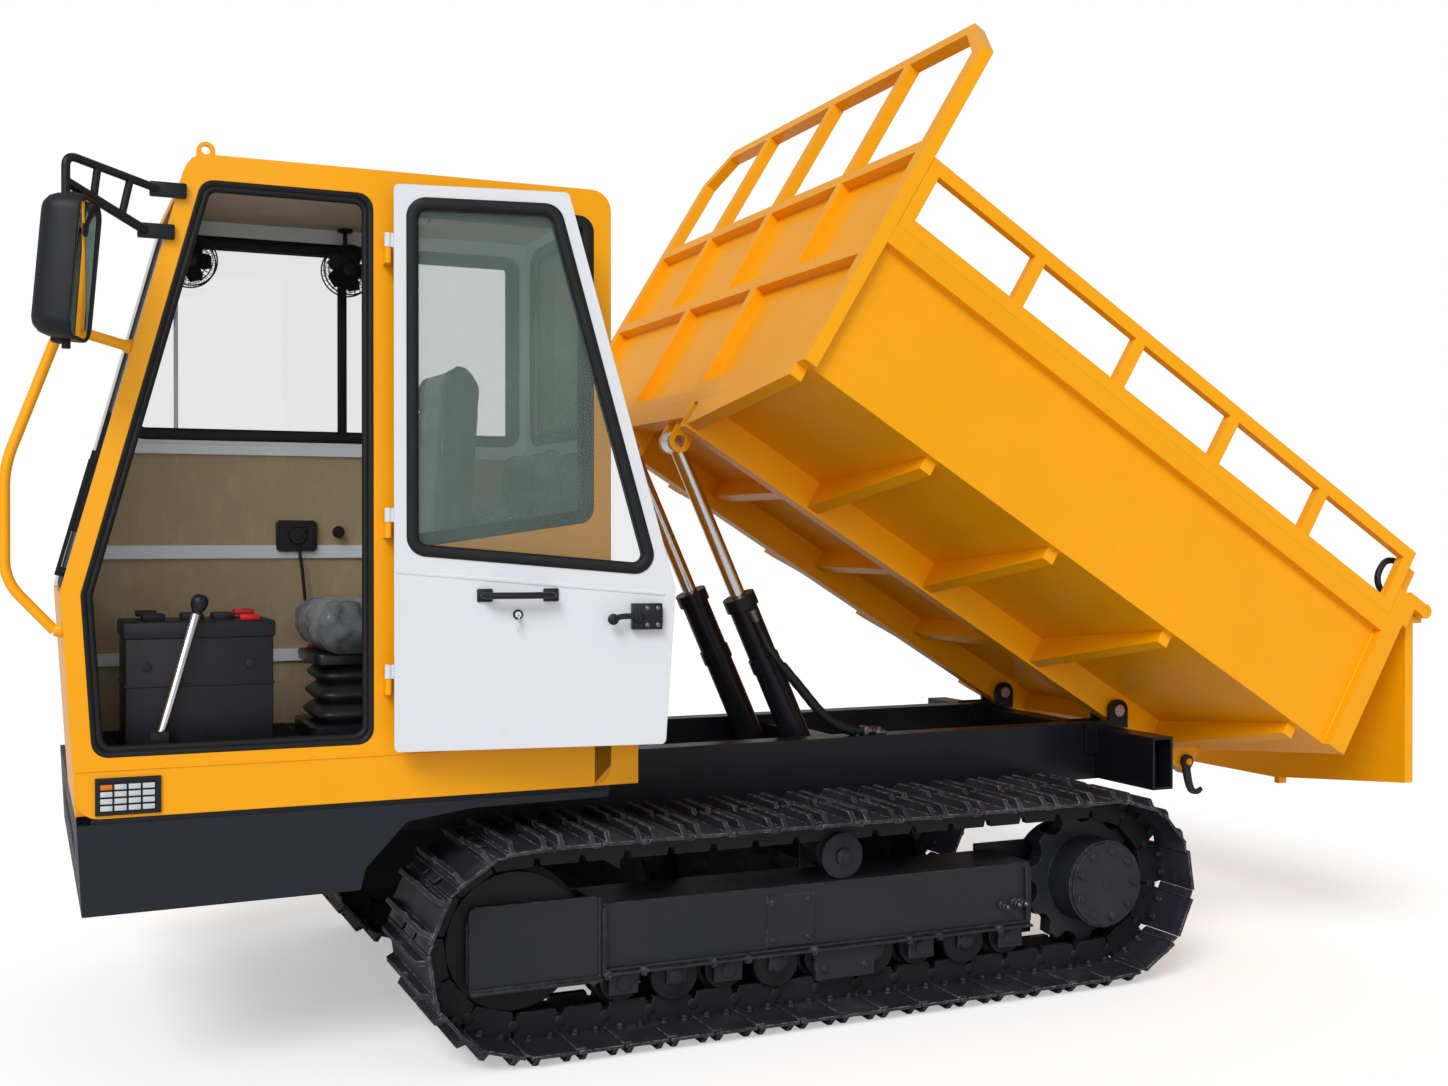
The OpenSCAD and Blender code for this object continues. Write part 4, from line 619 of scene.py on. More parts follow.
# Stiles and tracks of the sliding panes in the right window
for x, w, mat in ((CAB_REAR - 0.6013, 0.026, 0), (CAB_REAR - 1.0683, 0.011, 1)):
    seal.box((x - w / 2, CAB_FAR - 0.034, RIGHT_SILL + 0.05), (x + w / 2, CAB_FAR - 0.0205, ROOF_Z - 0.09), mat, 0.002)
seal.box((front_at(RIGHT_SILL) + 0.1, IN_FAR + 0.004, RIGHT_SILL + 0.044),
         (CAB_REAR - 0.08, CAB_FAR - 0.0202, RIGHT_SILL + 0.056), bevel=0.002)
seal.done("chassis", "black_rubber", 50)

# Ladder of tubes that carries the mirror, on two plates
ladder = Piece("mirror_ladder", PLASTIC)
tops = [MIRROR_AT - Z * d for d in (0.064, 0.126)]
feet = [Vector((front_at(ROOF_Z - d) - 0.05, CAB_NEAR - 0.014, ROOF_Z - d)) for d in (0.097, 0.199)]
ladder.sweep(eased([tops[0] - Z * 0.445, tops[0], feet[0]], 0.03), circle(0.01, 20))
ladder.sweep([tops[1], feet[1]], circle(0.0115, 20))
for u in (0.3, 0.66):
    ladder.sweep([a.lerp(b, u) for a, b in zip(feet, tops)], circle(0.009, 16))
for p in feet:
    ladder.box(p - Vector((0.016, 0.002, 0.018)), (front_at(p.z) + 0.02, CAB_NEAR - 0.0005, p.z + 0.018), bevel=0.003)
ladder.done("chassis", "black_plastic", 40, "mirror_bracket")

# Louvre cells of the vent, the folded edge and tail of the lower side panel, and the strip above the skirt
vent = Piece("vent_louvres", LIGHT, ORANGE)
for row in range(4):
    for col in range(4):
        at = (SILL_X + 0.0535 + col * 0.0322, CAB_NEAR, SILL_Z + 0.0185 + row * 0.017)
        vent.box((0, -0.0056, 0), (0.0275, -0.0035, 0.0125), 1 if (row, col) == (3, 0) else 0, 0.0008, at)
vent.done("chassis", "black_plastic", 40)
fold = Piece("side_panel_fold", YELLOW)
z = DOOR_LOW + 0.0155
fold.box((nose_at(z) + 0.004, CAB_NEAR - 0.0026, z - 0.002), (CAB_REAR + 0.078, CAB_NEAR + 0.001, z + 0.002), 0, 0.001)
fold.box((CAB_REAR - 0.05, CAB_NEAR, SILL_Z), (CAB_REAR + 0.08, CAB_NEAR + 0.04, DOOR_LOW + 0.018), bevel=0.003)
fold.done("chassis", "yellow_paint", 40)
strip = Piece("skirt_joint_strip", RUBBER)
for x, y in ((SILL_X + 0.034, CAB_FAR - 0.003), (CAB_REAR - 0.01, CAB_NEAR + 0.03)):
    strip.box((SILL_X + 0.0015, CAB_NEAR + 0.003, SILL_Z - 0.014), (x, y, SILL_Z + 0.003), bevel=0.001)
strip.done("chassis", "black_rubber", 40)

# Handrail as one bent tube with welded feet
RAIL_TOP, RAIL_LOW, RAIL_Y = ROOF_Z - 0.479, KNEE_Z - 0.09, CAB_NEAR + 0.034
feet = [Vector((front_at(RAIL_TOP), RAIL_Y, RAIL_TOP)), Vector((nose_at(RAIL_LOW), RAIL_Y, RAIL_LOW))]
ways = [Vector((KNEE_Z - ROOF_Z, 0, ROOF_X - KNEE_X)).normalized(),
        Vector((SILL_Z - KNEE_Z, 0, KNEE_X - SILL_X)).normalized()]
first, last = [p + w * 0.017 for p, w in zip(feet, ways)]
bends = [feet[0] + ways[0] * 0.165, *(Vector((KNEE_X - 0.12, RAIL_Y, KNEE_Z + h)) for h in (0.3, 0.03))]
rail = Piece("handrail_tube", YELLOW)
rail.sweep(eased([first, *bends, last], 0.05), circle(0.0128, 20))
for p, w in zip(feet, ways):
    rail.lathe(p, w, [(0.018, 0.0003), (0.018, 0.006), (0.0155, 0.012), (0.0135, 0.02)], count=24)
rail.done("chassis", "yellow_paint", stands_for="handrail")

# Mirror head: a rounded housing, its collars and the glass that looks back
head = Piece("mirror_housing", PLASTIC, MIRROR, place=move(*(MIRROR_AT - Z * 0.324)) @ spin(5, "Y") @ spin(-21, "Z"))


def mirror_ring(x, rim):
    h, w = 0.165 - rim, 0.078 - rim
    return yz(rounded(corners(-w, w, -h, h), max(0.006, 0.044 - rim), 9), x)


head.loft([mirror_ring(*ring) for ring in (
    (-0.053, 0.05), (-0.051, 0.034), (-0.045, 0.02), (-0.033, 0.008), (-0.016, 0.002), (0.004, 0.0),
    (0.038, 0.0), (0.0435, 0.0015), (0.045, 0.004), (0.0445, 0.008), (0.04, 0.0095))])
head.loft([mirror_ring(*ring) for ring in ((0.0395, 0.0095), (0.0415, 0.0098), (0.042, 0.0115))], 1)
for up in (-1, 1):
    head.collar(Z * (up * 0.1625), Z * up, 0.0102, [(0.019, 0), (0.019, 0.008), (0.016, 0.011)])
head.done("mirror_head", "black_plastic", 40, "mirror_head")

# Fans: wire guards, motor, foot and blades
FANS = {side: Vector((ROOF_X + x, IN_FAR - 0.075, 2.155)) for side, x in (("front", 0.056), ("rear", 0.494))}


def dome(r, face):
    """How far the guard stands off at radius r, on the front or the back."""
    return Y * (-0.002 + face * (0.022 + 0.010 * (1 - (r / 0.073) ** 2)))


cage = Piece("fan_cages", PLASTIC)
for centre in FANS.values():
    for face in (-1, 1):
        for r in (0.072, 0.06, 0.047, 0.035, 0.023):
            path = [centre + around(r, k * 9) + dome(r, face) for k in range(40)]
            cage.sweep(path, circle(0.0022 if r > 0.065 else 0.0011, 6), closed=True)
        for k in range(28):
            spoke = [centre + around(r, k * 180 / 14) + dome(r, face) for r in (0.012, 0.028, 0.046, 0.062, 0.072)]
            cage.sweep(spoke, circle(0.0009, 5))
        cage.lathe(centre + dome(0, face) - Y * (face * 0.003), Y * face, [(0.018, 0), (0.018, 0.004), (0.012, 0.006)],
                   count=24)
    cage.lathe(centre + Y * 0.03, Y, [(0.024, 0), (0.027, 0.006), (0.027, 0.024), (0.02, 0.032)], count=28)
    cage.lathe(centre - Y * 0.014, Y, [(0.0049, 0), (0.0049, 0.04)], count=12)
    cage.box((-0.006, 0.034, 0.015), (0.006, 0.044, 0.118), 0, 0.002, centre)
    cage.lathe(centre + Vector((0, 0.039, 0.115)), Z, [(0.012, 0), (0.022, 0.004), (0.022, 0.012)], count=24)
cage.done("chassis", "black_plastic", stands_for="cab_fans")


def blade_ring(i):
    """Cross-section i of a fan blade, from 0 at the hub to 6 at the tip."""
    r, pitch = 0.0145 + 0.0445 * i / 6, math.radians(38 - 22 * i / 6)
    w = 0.011 + 0.016 * math.sin(math.pi * (0.25 + 0.6 * i / 6))
    ring = []
    for u, t in ((-1, 0.0004), (0, 0.0011), (1, 0.0004), (1, -0.0004), (0, -0.0011), (-1, -0.0004)):
        t += 0.003 * (1 - u * u)
        ring.append(Vector((r, -0.003 + u * w * math.sin(pitch) + t * math.cos(pitch),
                            u * w * math.cos(pitch) - t * math.sin(pitch))))
    return ring


for side, centre in FANS.items():
    blades = Piece(f"fan_rotor_{side}", PLASTIC)
    blades.collar(centre - Y * 0.012, Y, 0.0052, [(0.014, 0), (0.016, 0.004), (0.016, 0.017)])
    for k in range(5):
        blades.place = move(*centre) @ spin(k * 72, "Y")
        blades.loft([blade_ring(i) for i in range(7)])
    blades.done(f"fan_blades_{side}", "black_plastic", 40, f"fan_blades_{side}")


# Seats: bellows and box under them, stuffed pads with sewn channels, and the clear film they come in
SEATS = {"driver": (CAB_REAR - 0.764, FLOOR_Z + 0.23, (0.33, 0.46, 0.13), (0.76, 0.44, 0.085)),
         "passenger": (CAB_REAR - 0.319, FLOOR_Z + 0.51, (0.17, 0.44, 0.09), (0.25, 0.42, 0.07))}
SEAT_X = SEATS["driver"][0]
BELLOWS_HALF, FOLD_H, FOLD_STEPS = 0.15, 0.052, 12


def squared(half, r, z):
    return xy(rounded(corners(-half, half, -half, half), r), z)


def plinth(dx, dy, z):
    return xy(rounded(corners(-dx, dx, -dy, dy), 0.02), z)


base = Piece("seat_mounts", BELLOWS, BLACK, place=move(SEAT_X + 0.16, CAB_MID, FLOOR_Z))
base.loft([squared(*ring) for ring in ((0.164, 0.03, 0.0), (0.165, 0.03, 0.036), (0.16, 0.03, 0.04))], 1)
rings = []
for fold in range(3):
    wide, waist = BELLOWS_HALF * (0.98 - fold * 0.03), BELLOWS_HALF * (0.82 - fold * 0.03)
    for k in range(FOLD_STEPS):
        swing = (0.5 - 0.5 * math.cos(2 * math.pi * k / FOLD_STEPS)) ** 0.7
        rings.append(squared(waist + (wide - waist) * swing, 0.045, 0.039 + FOLD_H * (fold + k / FOLD_STEPS)))
rings.append(squared(BELLOWS_HALF * 0.7, 0.045, 0.199))
base.loft(rings)
base.loft([squared(*ring) for ring in ((0.12, 0.03, 0.196), (0.155, 0.03, 0.202), (0.1575, 0.03, 0.224),
                                       (0.154, 0.028, 0.2297))], 1)
base.place = move(SEATS["passenger"][0] + 0.125, CAB_MID, FLOOR_Z)
base.loft([plinth(0.115 - t, 0.205 - t, z) for t, z in ((0.002, 0.0), (0.0, 0.003), (0.0, 0.506), (0.003, 0.5097))], 1)
for z in (0.06, 0.45):
    for y in (-0.16, 0.16):
        base.bolt((-0.115, y, z), -X, 0.007, 1)
base.done("chassis", "black_rubber", 50, "seat_bases")


def soft_block(size, r, waist, cuts):
    """Closed block of even cells with round edges, its sides drawn in below."""
    bm = bmesh.new()
    bmesh.ops.create_cube(bm, size=1)
    bmesh.ops.subdivide_edges(bm, edges=bm.edges[:], cuts=cuts, use_grid_fill=True)
    half = Vector(size) / 2
    for p in bm.verts:
        at = Vector((p.co.x * size[0], p.co.y * size[1], p.co.z * size[2]))
        core = Vector([max(-half[i] + r, min(half[i] - r, at[i])) for i in range(3)])
        off = at - core
        if off.length > 1e-9:
            at = core + off.normalized() * min(r, off.length)
        draw = 1 - waist * max(0.0, 0.5 - at.z / size[2]) ** 1.5
        p.co = Vector((at.x * draw, at.y * draw, at.z)) + Vector((half.x, 0, half.z))
    return bm


def inflate(obj, pressure, cap):
    """Fills the pad like a cushion by Blender's cloth, and limits how far a point may go."""
    before = np.array([p.co for p in obj.data.vertices])
    cloth = obj.modifiers.new("cloth", "CLOTH")
    for key, value in {"quality": 4, "mass": 0.25, "tension_stiffness": 12, "compression_stiffness": 12,
                       "bending_stiffness": 0.6, "use_pressure": True, "uniform_pressure_force": pressure}.items():
        setattr(cloth.settings, key, value)
    cloth.settings.effector_weights.gravity = 0
    cloth.collision_settings.use_collision = False
    cloth.point_cache.frame_end = 20
    for f in range(1, 21):
        scene.frame_set(f)
    shown = obj.evaluated_get(bpy.context.evaluated_depsgraph_get()).data
    after = np.array([p.co for p in shown.vertices])
    way = after - before
    far = np.linalg.norm(way, axis=1, keepdims=True)
    way *= np.minimum(1, cap / np.maximum(far, 1e-9))
    obj.modifiers.remove(cloth)
    obj.data.vertices.foreach_set("co", (before + way).astype(np.float32).ravel())
    obj.data.update()
    scene.frame_set(1)


def pad(name, place, size, channels, seams):
    """A stuffed pad in its own frame: it rests on z = 0, and its face looks to +z."""
    spare, groove = 0.007, 0.011
    bm = soft_block([s - 2 * spare for s in size], min(0.036, size[2] / 2 - spare - 0.004), 0.09, 40)
    bmesh.ops.translate(bm, verts=bm.verts, vec=(spare, 0, spare))
    mesh = bpy.data.meshes.new(name)
    bm.to_mesh(mesh)
    bm.free()
    obj = add_object(name, mesh)
    inflate(obj, 4.0, 0.013)
    for p in mesh.vertices:
        x, y, z = p.co
        top = max(0.0, min(1.0, (z / size[2] - 0.62) / 0.25))
        for c in channels:
            z -= top * 0.011 * math.exp(-((x - c * size[0]) / groove) ** 2)
        for c in seams:
            z -= top * 0.009 * math.exp(-((y - c * size[1]) / groove) ** 2)
        z += top * 0.0016 * noise.noise(Vector((x * 14, y * 14, 3.0)))
        p.co = (x, y, min(max(z, 0.0005), size[2] + 0.004))
    mesh.transform(place)
    mesh.materials.append(CLOTH)
    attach(obj, "chassis")
    return obj


def film(name, source, place, size, depth):
    """Clear bag round a pad, loose and crumpled away from where it rests."""
    mesh = source.data.copy()
    mesh.name = name
    mesh.transform(place.inverted())
    mesh.update()
    normals = [p.normal.copy() for p in mesh.vertices]
    for p, n in zip(mesh.vertices, normals):
        free = max(0.0, min(1.0, p.co.z / (size[2] * 0.5)))
        q = p.co * 16
        folds = abs(noise.noise(q)) + 0.6 * abs(noise.noise(q * 2.3 + Vector((5, 1, 2))))
        p.co += n * (0.0012 + free * (0.004 + depth * folds))
        p.co.z = max(p.co.z, 0.0004)
    mesh.transform(place)
    mesh.materials.clear()
    mesh.materials.append(FILM)
    obj = add_object(name, mesh)
    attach(obj, "chassis")


SEAMS = (-0.31, 0.31)
for who, (x, z, cushion_size, back_size) in SEATS.items():
    flat = move(x, CAB_MID, z + 0.0004)
    upright = move(x + cushion_size[0] + back_size[2] - 0.004, CAB_MID, z + 0.032) @ spin(3 - 90, "Y")
    tall = back_size[0] > 0.5
    cushion = pad(f"{who}_cushion", flat, cushion_size, (0.36, 0.68) if tall else (0.5,), SEAMS)
    backrest = pad(f"{who}_backrest", upright, back_size, (0.34, 0.62, 0.84) if tall else (0.5,), SEAMS)
    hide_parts(f"{who}_seat")
    film(f"{who}_cushion_film", cushion, flat, cushion_size, 0.009 if tall else 0.018)
    film(f"{who}_backrest_film", backrest, upright, back_size, 0.007)

# Battery box with a lid, caps and terminals
size = Vector((0.358, 0.24, 0.33))
box = Piece("battery_box", PLASTIC, RED, BOLT, place=move(CAB_REAR - 1.239, IN_NEAR + 0.063, FLOOR_Z))
for wider, low, high, bevel in ((0.0, 0.0004, 0.292, 0.006), (0.005, 0.288, size.z, 0.006),
                                (0.003, 0.168, 0.174, 0.001)):
    box.box((-wider, -wider, low), (size.x + wider, size.y + wider, high), bevel=bevel)
for x in (0.046, 0.14, 0.216):
    box.box((x, 0.06, size.z - 0.002), (x + 0.054, 0.14, size.z + 0.018), bevel=0.004)
for x in (0.05, 0.3):
    box.lathe((x, -0.0005, 0.22), -Y, [(0.012, 0), (0.012, 0.004), (0.009, 0.005)], count=20)
for x, mat in ((0.062, 0), (size.x - 0.052, 1)):
    box.lathe((x, 0.186, size.z - 0.002), Z, [(0.012, 0), (0.012, 0.016), (0.009, 0.02), (0.009, 0.025)], 2, 20)
    box.box((x - 0.026, 0.166, size.z + 0.006), (x + 0.026, 0.206, size.z + 0.022), mat, 0.004)
box.box((size.x - 0.08, 0.02, size.z - 0.001), (size.x - 0.03, 0.05, size.z + 0.014), 1, 0.004)
box.done("chassis", "black_plastic", 40, "battery")

# Drive lever: a bright rod with a ball grip, on its fork
lever = Piece("drive_lever_rod", CHROME, PLASTIC,
              place=move(CAB_REAR - 1.162, IN_NEAR + 0.035, FLOOR_Z + 0.04) @ spin(16, "Y"))
lever.lathe((0, 0, 0.012), Z, [(0.0112, 0), (0.0112, 0.322), (0.0085, 0.326)], count=28)
lever.collar((0, -0.013, 0), Y, 0.0081, [(0.018, 0), (0.018, 0.026)], 1)
lever.lathe((0, 0, 0.322), Z, [(0.011, 0), (0.0135, 0.008), (0.019, 0.018), (0.0218, 0.031), (0.019, 0.043),
                               (0.011, 0.05), (0.003, 0.051)], 1)
lever.done("drive_lever", "bright_steel", 40, "drive_lever")

# Throttle lever: hub with a grip above, thin rod and red handle below
lever = Piece("throttle_rod", PLASTIC, RED, BOLT, place=move(*THROTTLE) @ spin(-6.5, "Y"))
lever.collar((0, -0.01, 0), Y, 0.0102, [(0.022, 0), (0.024, 0.004), (0.024, 0.016), (0.022, 0.02)], count=32)
lever.sweep([(0, 0, -0.012), (0.002, 0, -0.1), (0, 0, -0.2), (0, 0, -0.322)], circle(0.0046, 12))
lever.lathe((0, 0, -0.317), -Z, [(0.006, 0), (0.012, 0.004), (0.0135, 0.02), (0.012, 0.04), (0.006, 0.045)], 1, 24)
lever.box((-0.006, -0.008, 0.008), (0.03, 0.002, 0.024), bevel=0.003)
lever.done("throttle_lever", "black_plastic", 40, "throttle_lever")

# Small cab fittings: wall knob, throttle bracket lugs, ceiling lamp and the ribs of the floor mat
fit = Piece("cab_fittings", PLASTIC, LIGHT, MAT)
fit.lathe((CAB_REAR - 0.6213, IN_FAR - 0.006, 1.396), -Y,
          [(0.007, 0), (0.007, 0.018), (0.016, 0.022), (0.018, 0.034), (0.012, 0.042)], count=24)
for x in (-0.056, 0.05):
    fit.box((THROTTLE.x + x, IN_FAR - 0.03, 1.345), (THROTTLE.x + x + 0.008, IN_FAR - 0.005, 1.425), bevel=0.002)
lamp = Vector((CAB_REAR - 0.5, CAB_MID, ROOF_Z - 0.0412))
fit.lathe(lamp, -Z, [(0.09, -0.002), (0.09, 0.008), (0.082, 0.012)])
fit.lathe(lamp - Z * 0.01, -Z, [(0.078, 0), (0.072, 0.008), (0.05, 0.014), (0.02, 0.017)], 1)
for k in range(10):
    y = IN_NEAR + 0.034 + k * 0.06
    start = CAB_REAR - 0.87 if y < IN_NEAR + 0.31 else nose_at(FLOOR_Z) + 0.12
    fit.box((start, y, FLOOR_Z - 0.001), (SEAT_X - 0.015, y + 0.022, FLOOR_Z + 0.0035), 2, 0.0012)
fit.done("chassis", "black_plastic", 40)

# Door panel with its knuckles and latch box, and the pane in its window
panel = Piece("door_sheet", WHITE, PLASTIC, place=DOOR)
rings = []
for y in (-DOOR_FACE, -DOOR_FACE - DOOR_T):
    edges = []
    for ring in (rounded(inset(DOOR_BAY, SHEET_IN), 0.014, 6), PANE):
        made = [panel.bm.verts.new(DOOR @ p) for p in xz(ring, y)]
        edges += [panel.bm.edges.new(pair) for pair in zip(made, made[1:] + made[:1])]
        rings.append(made)
    bmesh.ops.triangle_fill(panel.bm, use_beauty=True, edges=edges)
for near, far in ((rings[0], rings[2]), (rings[1], rings[3])):
    for i in range(len(near)):
        panel.bm.faces.new((near[i - 1], near[i], far[i], far[i - 1]))
KNUCKLE_H = 0.036
for z in (1.021, 1.421, 2.121):
    knuckle = DOOR_PIVOT + Z * z
    panel.collar(knuckle, Z, 0.0053, [(0.009, 0), (0.009, KNUCKLE_H)], count=24)
    panel.box((-0.018, -0.004, 0), (-0.0065, 0.005, KNUCKLE_H), at=knuckle)
panel.place = LATCH
panel.box((-0.04, 0, -0.034), (0.04, 0.026, 0.034), 1, 0.002)
panel.lathe((0.026, 0.025, 0), Y, [(0.006, 0), (0.006, 0.019)], 1, 24)
panel.done("door", "white_paint", 40, "door_panel")
pane = Piece("door_pane", GLASS, place=DOOR)
pane.loft([xz(PANE, -DOOR_FACE - DOOR_T / 2 + h) for h in (-0.003, 0.003)])
pane.done("door", "clear_glass", 40, "door_glass")

# Door handle, latch lever, lock with its key, and the crease of the panel, counted from the latch
PULL_X, PULL_L, PULL_Z = 0.25, 0.17, 0.058
pull = Piece("door_pull_bar", PLASTIC, place=LATCH)
half = [(0, 0.004), (0.003, 0.03), (0.022, 0.038)]
way = half + [(PULL_L / 2, 0.041)] + [(PULL_L - x, y) for x, y in half[::-1]]
pull.sweep(curve([(PULL_X + x, y, PULL_Z) for x, y in way], 7), circle(0.014, 16, 0.62), normal=Z)
for x in (PULL_X, PULL_X + PULL_L):
    pull.box((-0.02, 0.0003, -0.017), (0.02, 0.007, 0.017), 0, 0.003, (x, 0, PULL_Z))
pull.done("door", "black_plastic", 50, "door_pull")

lever = Piece("latch_lever", PLASTIC, place=LATCH)
lever.collar((0.026, 0.0268, 0), Y, 0.0061, [(0.012, 0), (0.0125, 0.003), (0.0125, 0.013), (0.011, 0.016)], count=24)
lever.sweep(curve([(0.034, 0.034, 0), (0.055, 0.035, 0.002), (0.075, 0.036, 0), (0.09, 0.036, -0.006)], 6),
            circle(0.0075, 14, 0.8), normal=Y)
lever.lathe((0.092, 0.0262, -0.006), Y, [(0.006, 0), (0.0135, 0.003), (0.015, 0.009), (0.0135, 0.016), (0.007, 0.0195)],
            count=28)
lever.done("door_latch_lever", "black_plastic", 45, "door_latch_lever")

lock = Piece("door_fittings", PLASTIC, CHROME, WHITE, BOLT, place=LATCH)
at = Vector((PULL_X + PULL_L / 2, 0, 0.008))
lock.lathe(at - Y * 0.001, Y, [(0.013, 0), (0.013, 0.004), (0.010, 0.007)], 0, 28)
lock.lathe(at + Y * 0.004, Y, [(0.0085, 0), (0.0085, 0.005), (0.0075, 0.006)], 1, 24)
lock.box((-0.0015, 0.009, -0.0045), (0.0015, 0.017, 0.0045), 1, 0.0006, at)
lock.lathe(at + Vector((-0.0014, 0.018, -0.009)), X, [(0.0105, 0), (0.0105, 0.0028)], 1, 24)
lock.box((-0.0012, 0.0165, -0.045), (0.0012, 0.0195, -0.016), 1, 0.0005, at)
for x in (-0.028, 0.0):
    for z in (-0.022, 0.022):
        lock.lathe((x, 0.025, z), Y, [(0.006, 0), (0.006, 0.002), (0.004, 0.003)], 3, 18)
lock.box((-0.042, 0.004, -0.02), (-0.036, 0.022, 0.02), 0, 0.002)
lock.place = DOOR
crease = [(nose_at(1.23) + 0.06, -DOOR_FACE + 0.0006, 1.233), (DOOR_BACK - 0.035, -DOOR_FACE + 0.0006, 1.296)]
lock.sweep(crease, lip(0.012, 0.0016), 2, normal=Y)
lock.done("door", "white_paint", 40)

# Latch hooks of the tailgate, bent from flat bar
HOOK_X, HOOK_Z = BED_REAR - 0.036, -0.005
hooks = Piece("tailgate_hooks", CAST, BOLT)
path = curve([(0.008, 0, -0.006), (0.045, 0, -0.012), (0.085, 0, -0.013), (0.107, 0, -0.006), (0.117, 0, 0.014),
              (0.113, 0, 0.034)], 8)
width = [1.15 - 0.55 * (i / (len(path) - 1)) ** 1.6 for i in range(len(path))]
flat = [(0.0115, -0.0065), (0.0115, 0.0065), (0.0085, 0.008), (-0.0085, 0.008),
        (-0.0115, 0.0065), (-0.0115, -0.0065), (-0.0085, -0.008), (0.0085, -0.008)]
for sign, _ in SIDES:
    hooks.place = BED @ move(HOOK_X, sign * (FLOOR_KINK + 0.009), HOOK_Z) @ spin(42, "Y")
    hooks.collar((0, -0.008, 0), Y, 0.0122, [(0.022, 0), (0.024, 0.002), (0.024, 0.014), (0.022, 0.016)], count=32)
    hooks.sweep(path, flat, normal=Y, scale=width)
hooks.done("gate_hooks", "cast", 40, "gate_hooks")


# Hydraulic hose along the left cylinder, with its sleeve and end fittings
def beside_barrel(below, out):
    """A point on the hose's way along the barrel, at a distance below the barrel's top and out from its side."""
    along = BARREL_LEN - below
    return Vector((HOIST_BASE.x + along * math.cos(HOIST_ANGLE), -HOIST_Y - BARREL_R - HOSE_R - HOSE_GAP - out,
                   HOIST_BASE.z + along * math.sin(HOIST_ANGLE)))


HOSE_GAP = 0.0003
HOSE_Y = BEAM_W / 2 - BEAM_Y
route = [Vector((HOIST_BASE.x + x, y, BEAM_TOP + HOSE_R + HOSE_GAP + z)) for x, y, z in (
    (0.15, HOSE_Y, 0), (0.1, HOSE_Y, 0), (0.04, HOSE_Y, 0.011), (-0.03, -0.335, 0.058), (-0.1, -0.316, 0.143))]
route += [beside_barrel(*p) for p in ((0.205, 0.032), (0.15, 0.008), (0.1, 0.0), (GLAND_L + 0.012, 0.0))]
path = curve(route, 6)
hose = Piece("hoist_hose", RUBBER)
hose.sweep(path, circle(HOSE_R, 16))
hose = hose.done(None, "black_rubber", 60)
sleeve = Piece("hose_sleeve", RUBBER)
covered = path[8:29]
sleeve.sweep(covered, circle(0.0165, 16), scale=[1.0 if i % 2 else 0.95 for i in range(len(covered))])
sleeve = sleeve.done(None, "black_rubber", 60)
ends = Piece("hose_end_beam", BOLT)
at = Vector((path[0].x, path[0].y, BEAM_TOP))
ends.lathe(path[0] + X * 0.004, -X, [(0.0135, 0), (0.0145, 0.004), (0.0145, 0.03), (0.013, 0.034)], count=24)
ends.box((-0.045, -0.02, 0), (-0.03, 0.02, 0.028), 0, 0.002, at)
ends.bolt(at + Vector((0.016, 0, 0.0115)), Z, 0.011)
ends.box((-0.002, -0.018, 0.0002), (0.036, 0.018, 0.012), 0, 0.002, at)
ends = ends.done("chassis", "cast", 40)
tip = Piece("hose_end_barrel", BOLT)
way = (path[-1] - path[-2]).normalized()
tip.lathe(path[-1] - way * 0.034, way, [(0.013, 0), (0.0145, 0.004), (0.0145, 0.028), (0.0165, 0.029), (0.0165, 0.041),
                                        (0.011, 0.042)], count=24)
tip = tip.done("hoist_barrels", "cast", 40)
for piece in (hose, sleeve):
    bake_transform(piece)
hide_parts("hoist_hoses")


# Track hardware: lips and nuts inside the shoes, pin ends, plain rollers, and the fittings of each side frame
def pin_at(k):
    """Centre of chain pin k in the XZ plane, counted from below the idler towards the sprocket."""
    turn, half, run = 360 / TEETH, TEETH / 2, LINKS / 2 - TEETH / 2
    axle = Vector((0, 0, AXLE_Z))
    if k <= run:
        return axle + Vector((IDLER_X + k * LINK_PITCH, 0, -PITCH_R))
    if k <= run + half:
        return axle + X * SPROCKET_X + around(PITCH_R, (k - run) * turn - 90)
    if k <= 2 * run + half:
        return axle + Vector((SPROCKET_X - (k - run - half) * LINK_PITCH, 0, PITCH_R))
    return axle + X * IDLER_X + around(PITCH_R, (k - 2 * run - half) * turn + 90)


NUT = (([(0.0135, -0.001), (0.0135, 0.003), (0.0125, 0.0035)], 14),
       ([(0.0105, 0.002), (0.0105, 0.011), (0.0085, 0.0125)], 6),
       ([(0.006, 0.01), (0.006, 0.016), (0.005, 0.0168)], 10))
SHOE_LIPS = ((-SHOE_W / 2 + 0.004, -0.0765), (-0.0475, 0.0475), (0.0765, SHOE_W / 2 - 0.004))
ROLLER = [(0.0585, 0.0765), (0.0705, 0.0785), (0.0705, 0.091), (0.067, 0.0945), (0.05, 0.0955), (0.047, 0.0965),
          (0.022, 0.097)]
WALL, COVER = TRACK_Y + WALL_OUT, TRACK_Y + COVER_OUT
ON_WALL, ON_COVER, COVER_FRONT = WALL - 0.001, COVER - 0.001, IDLER_X - 0.135
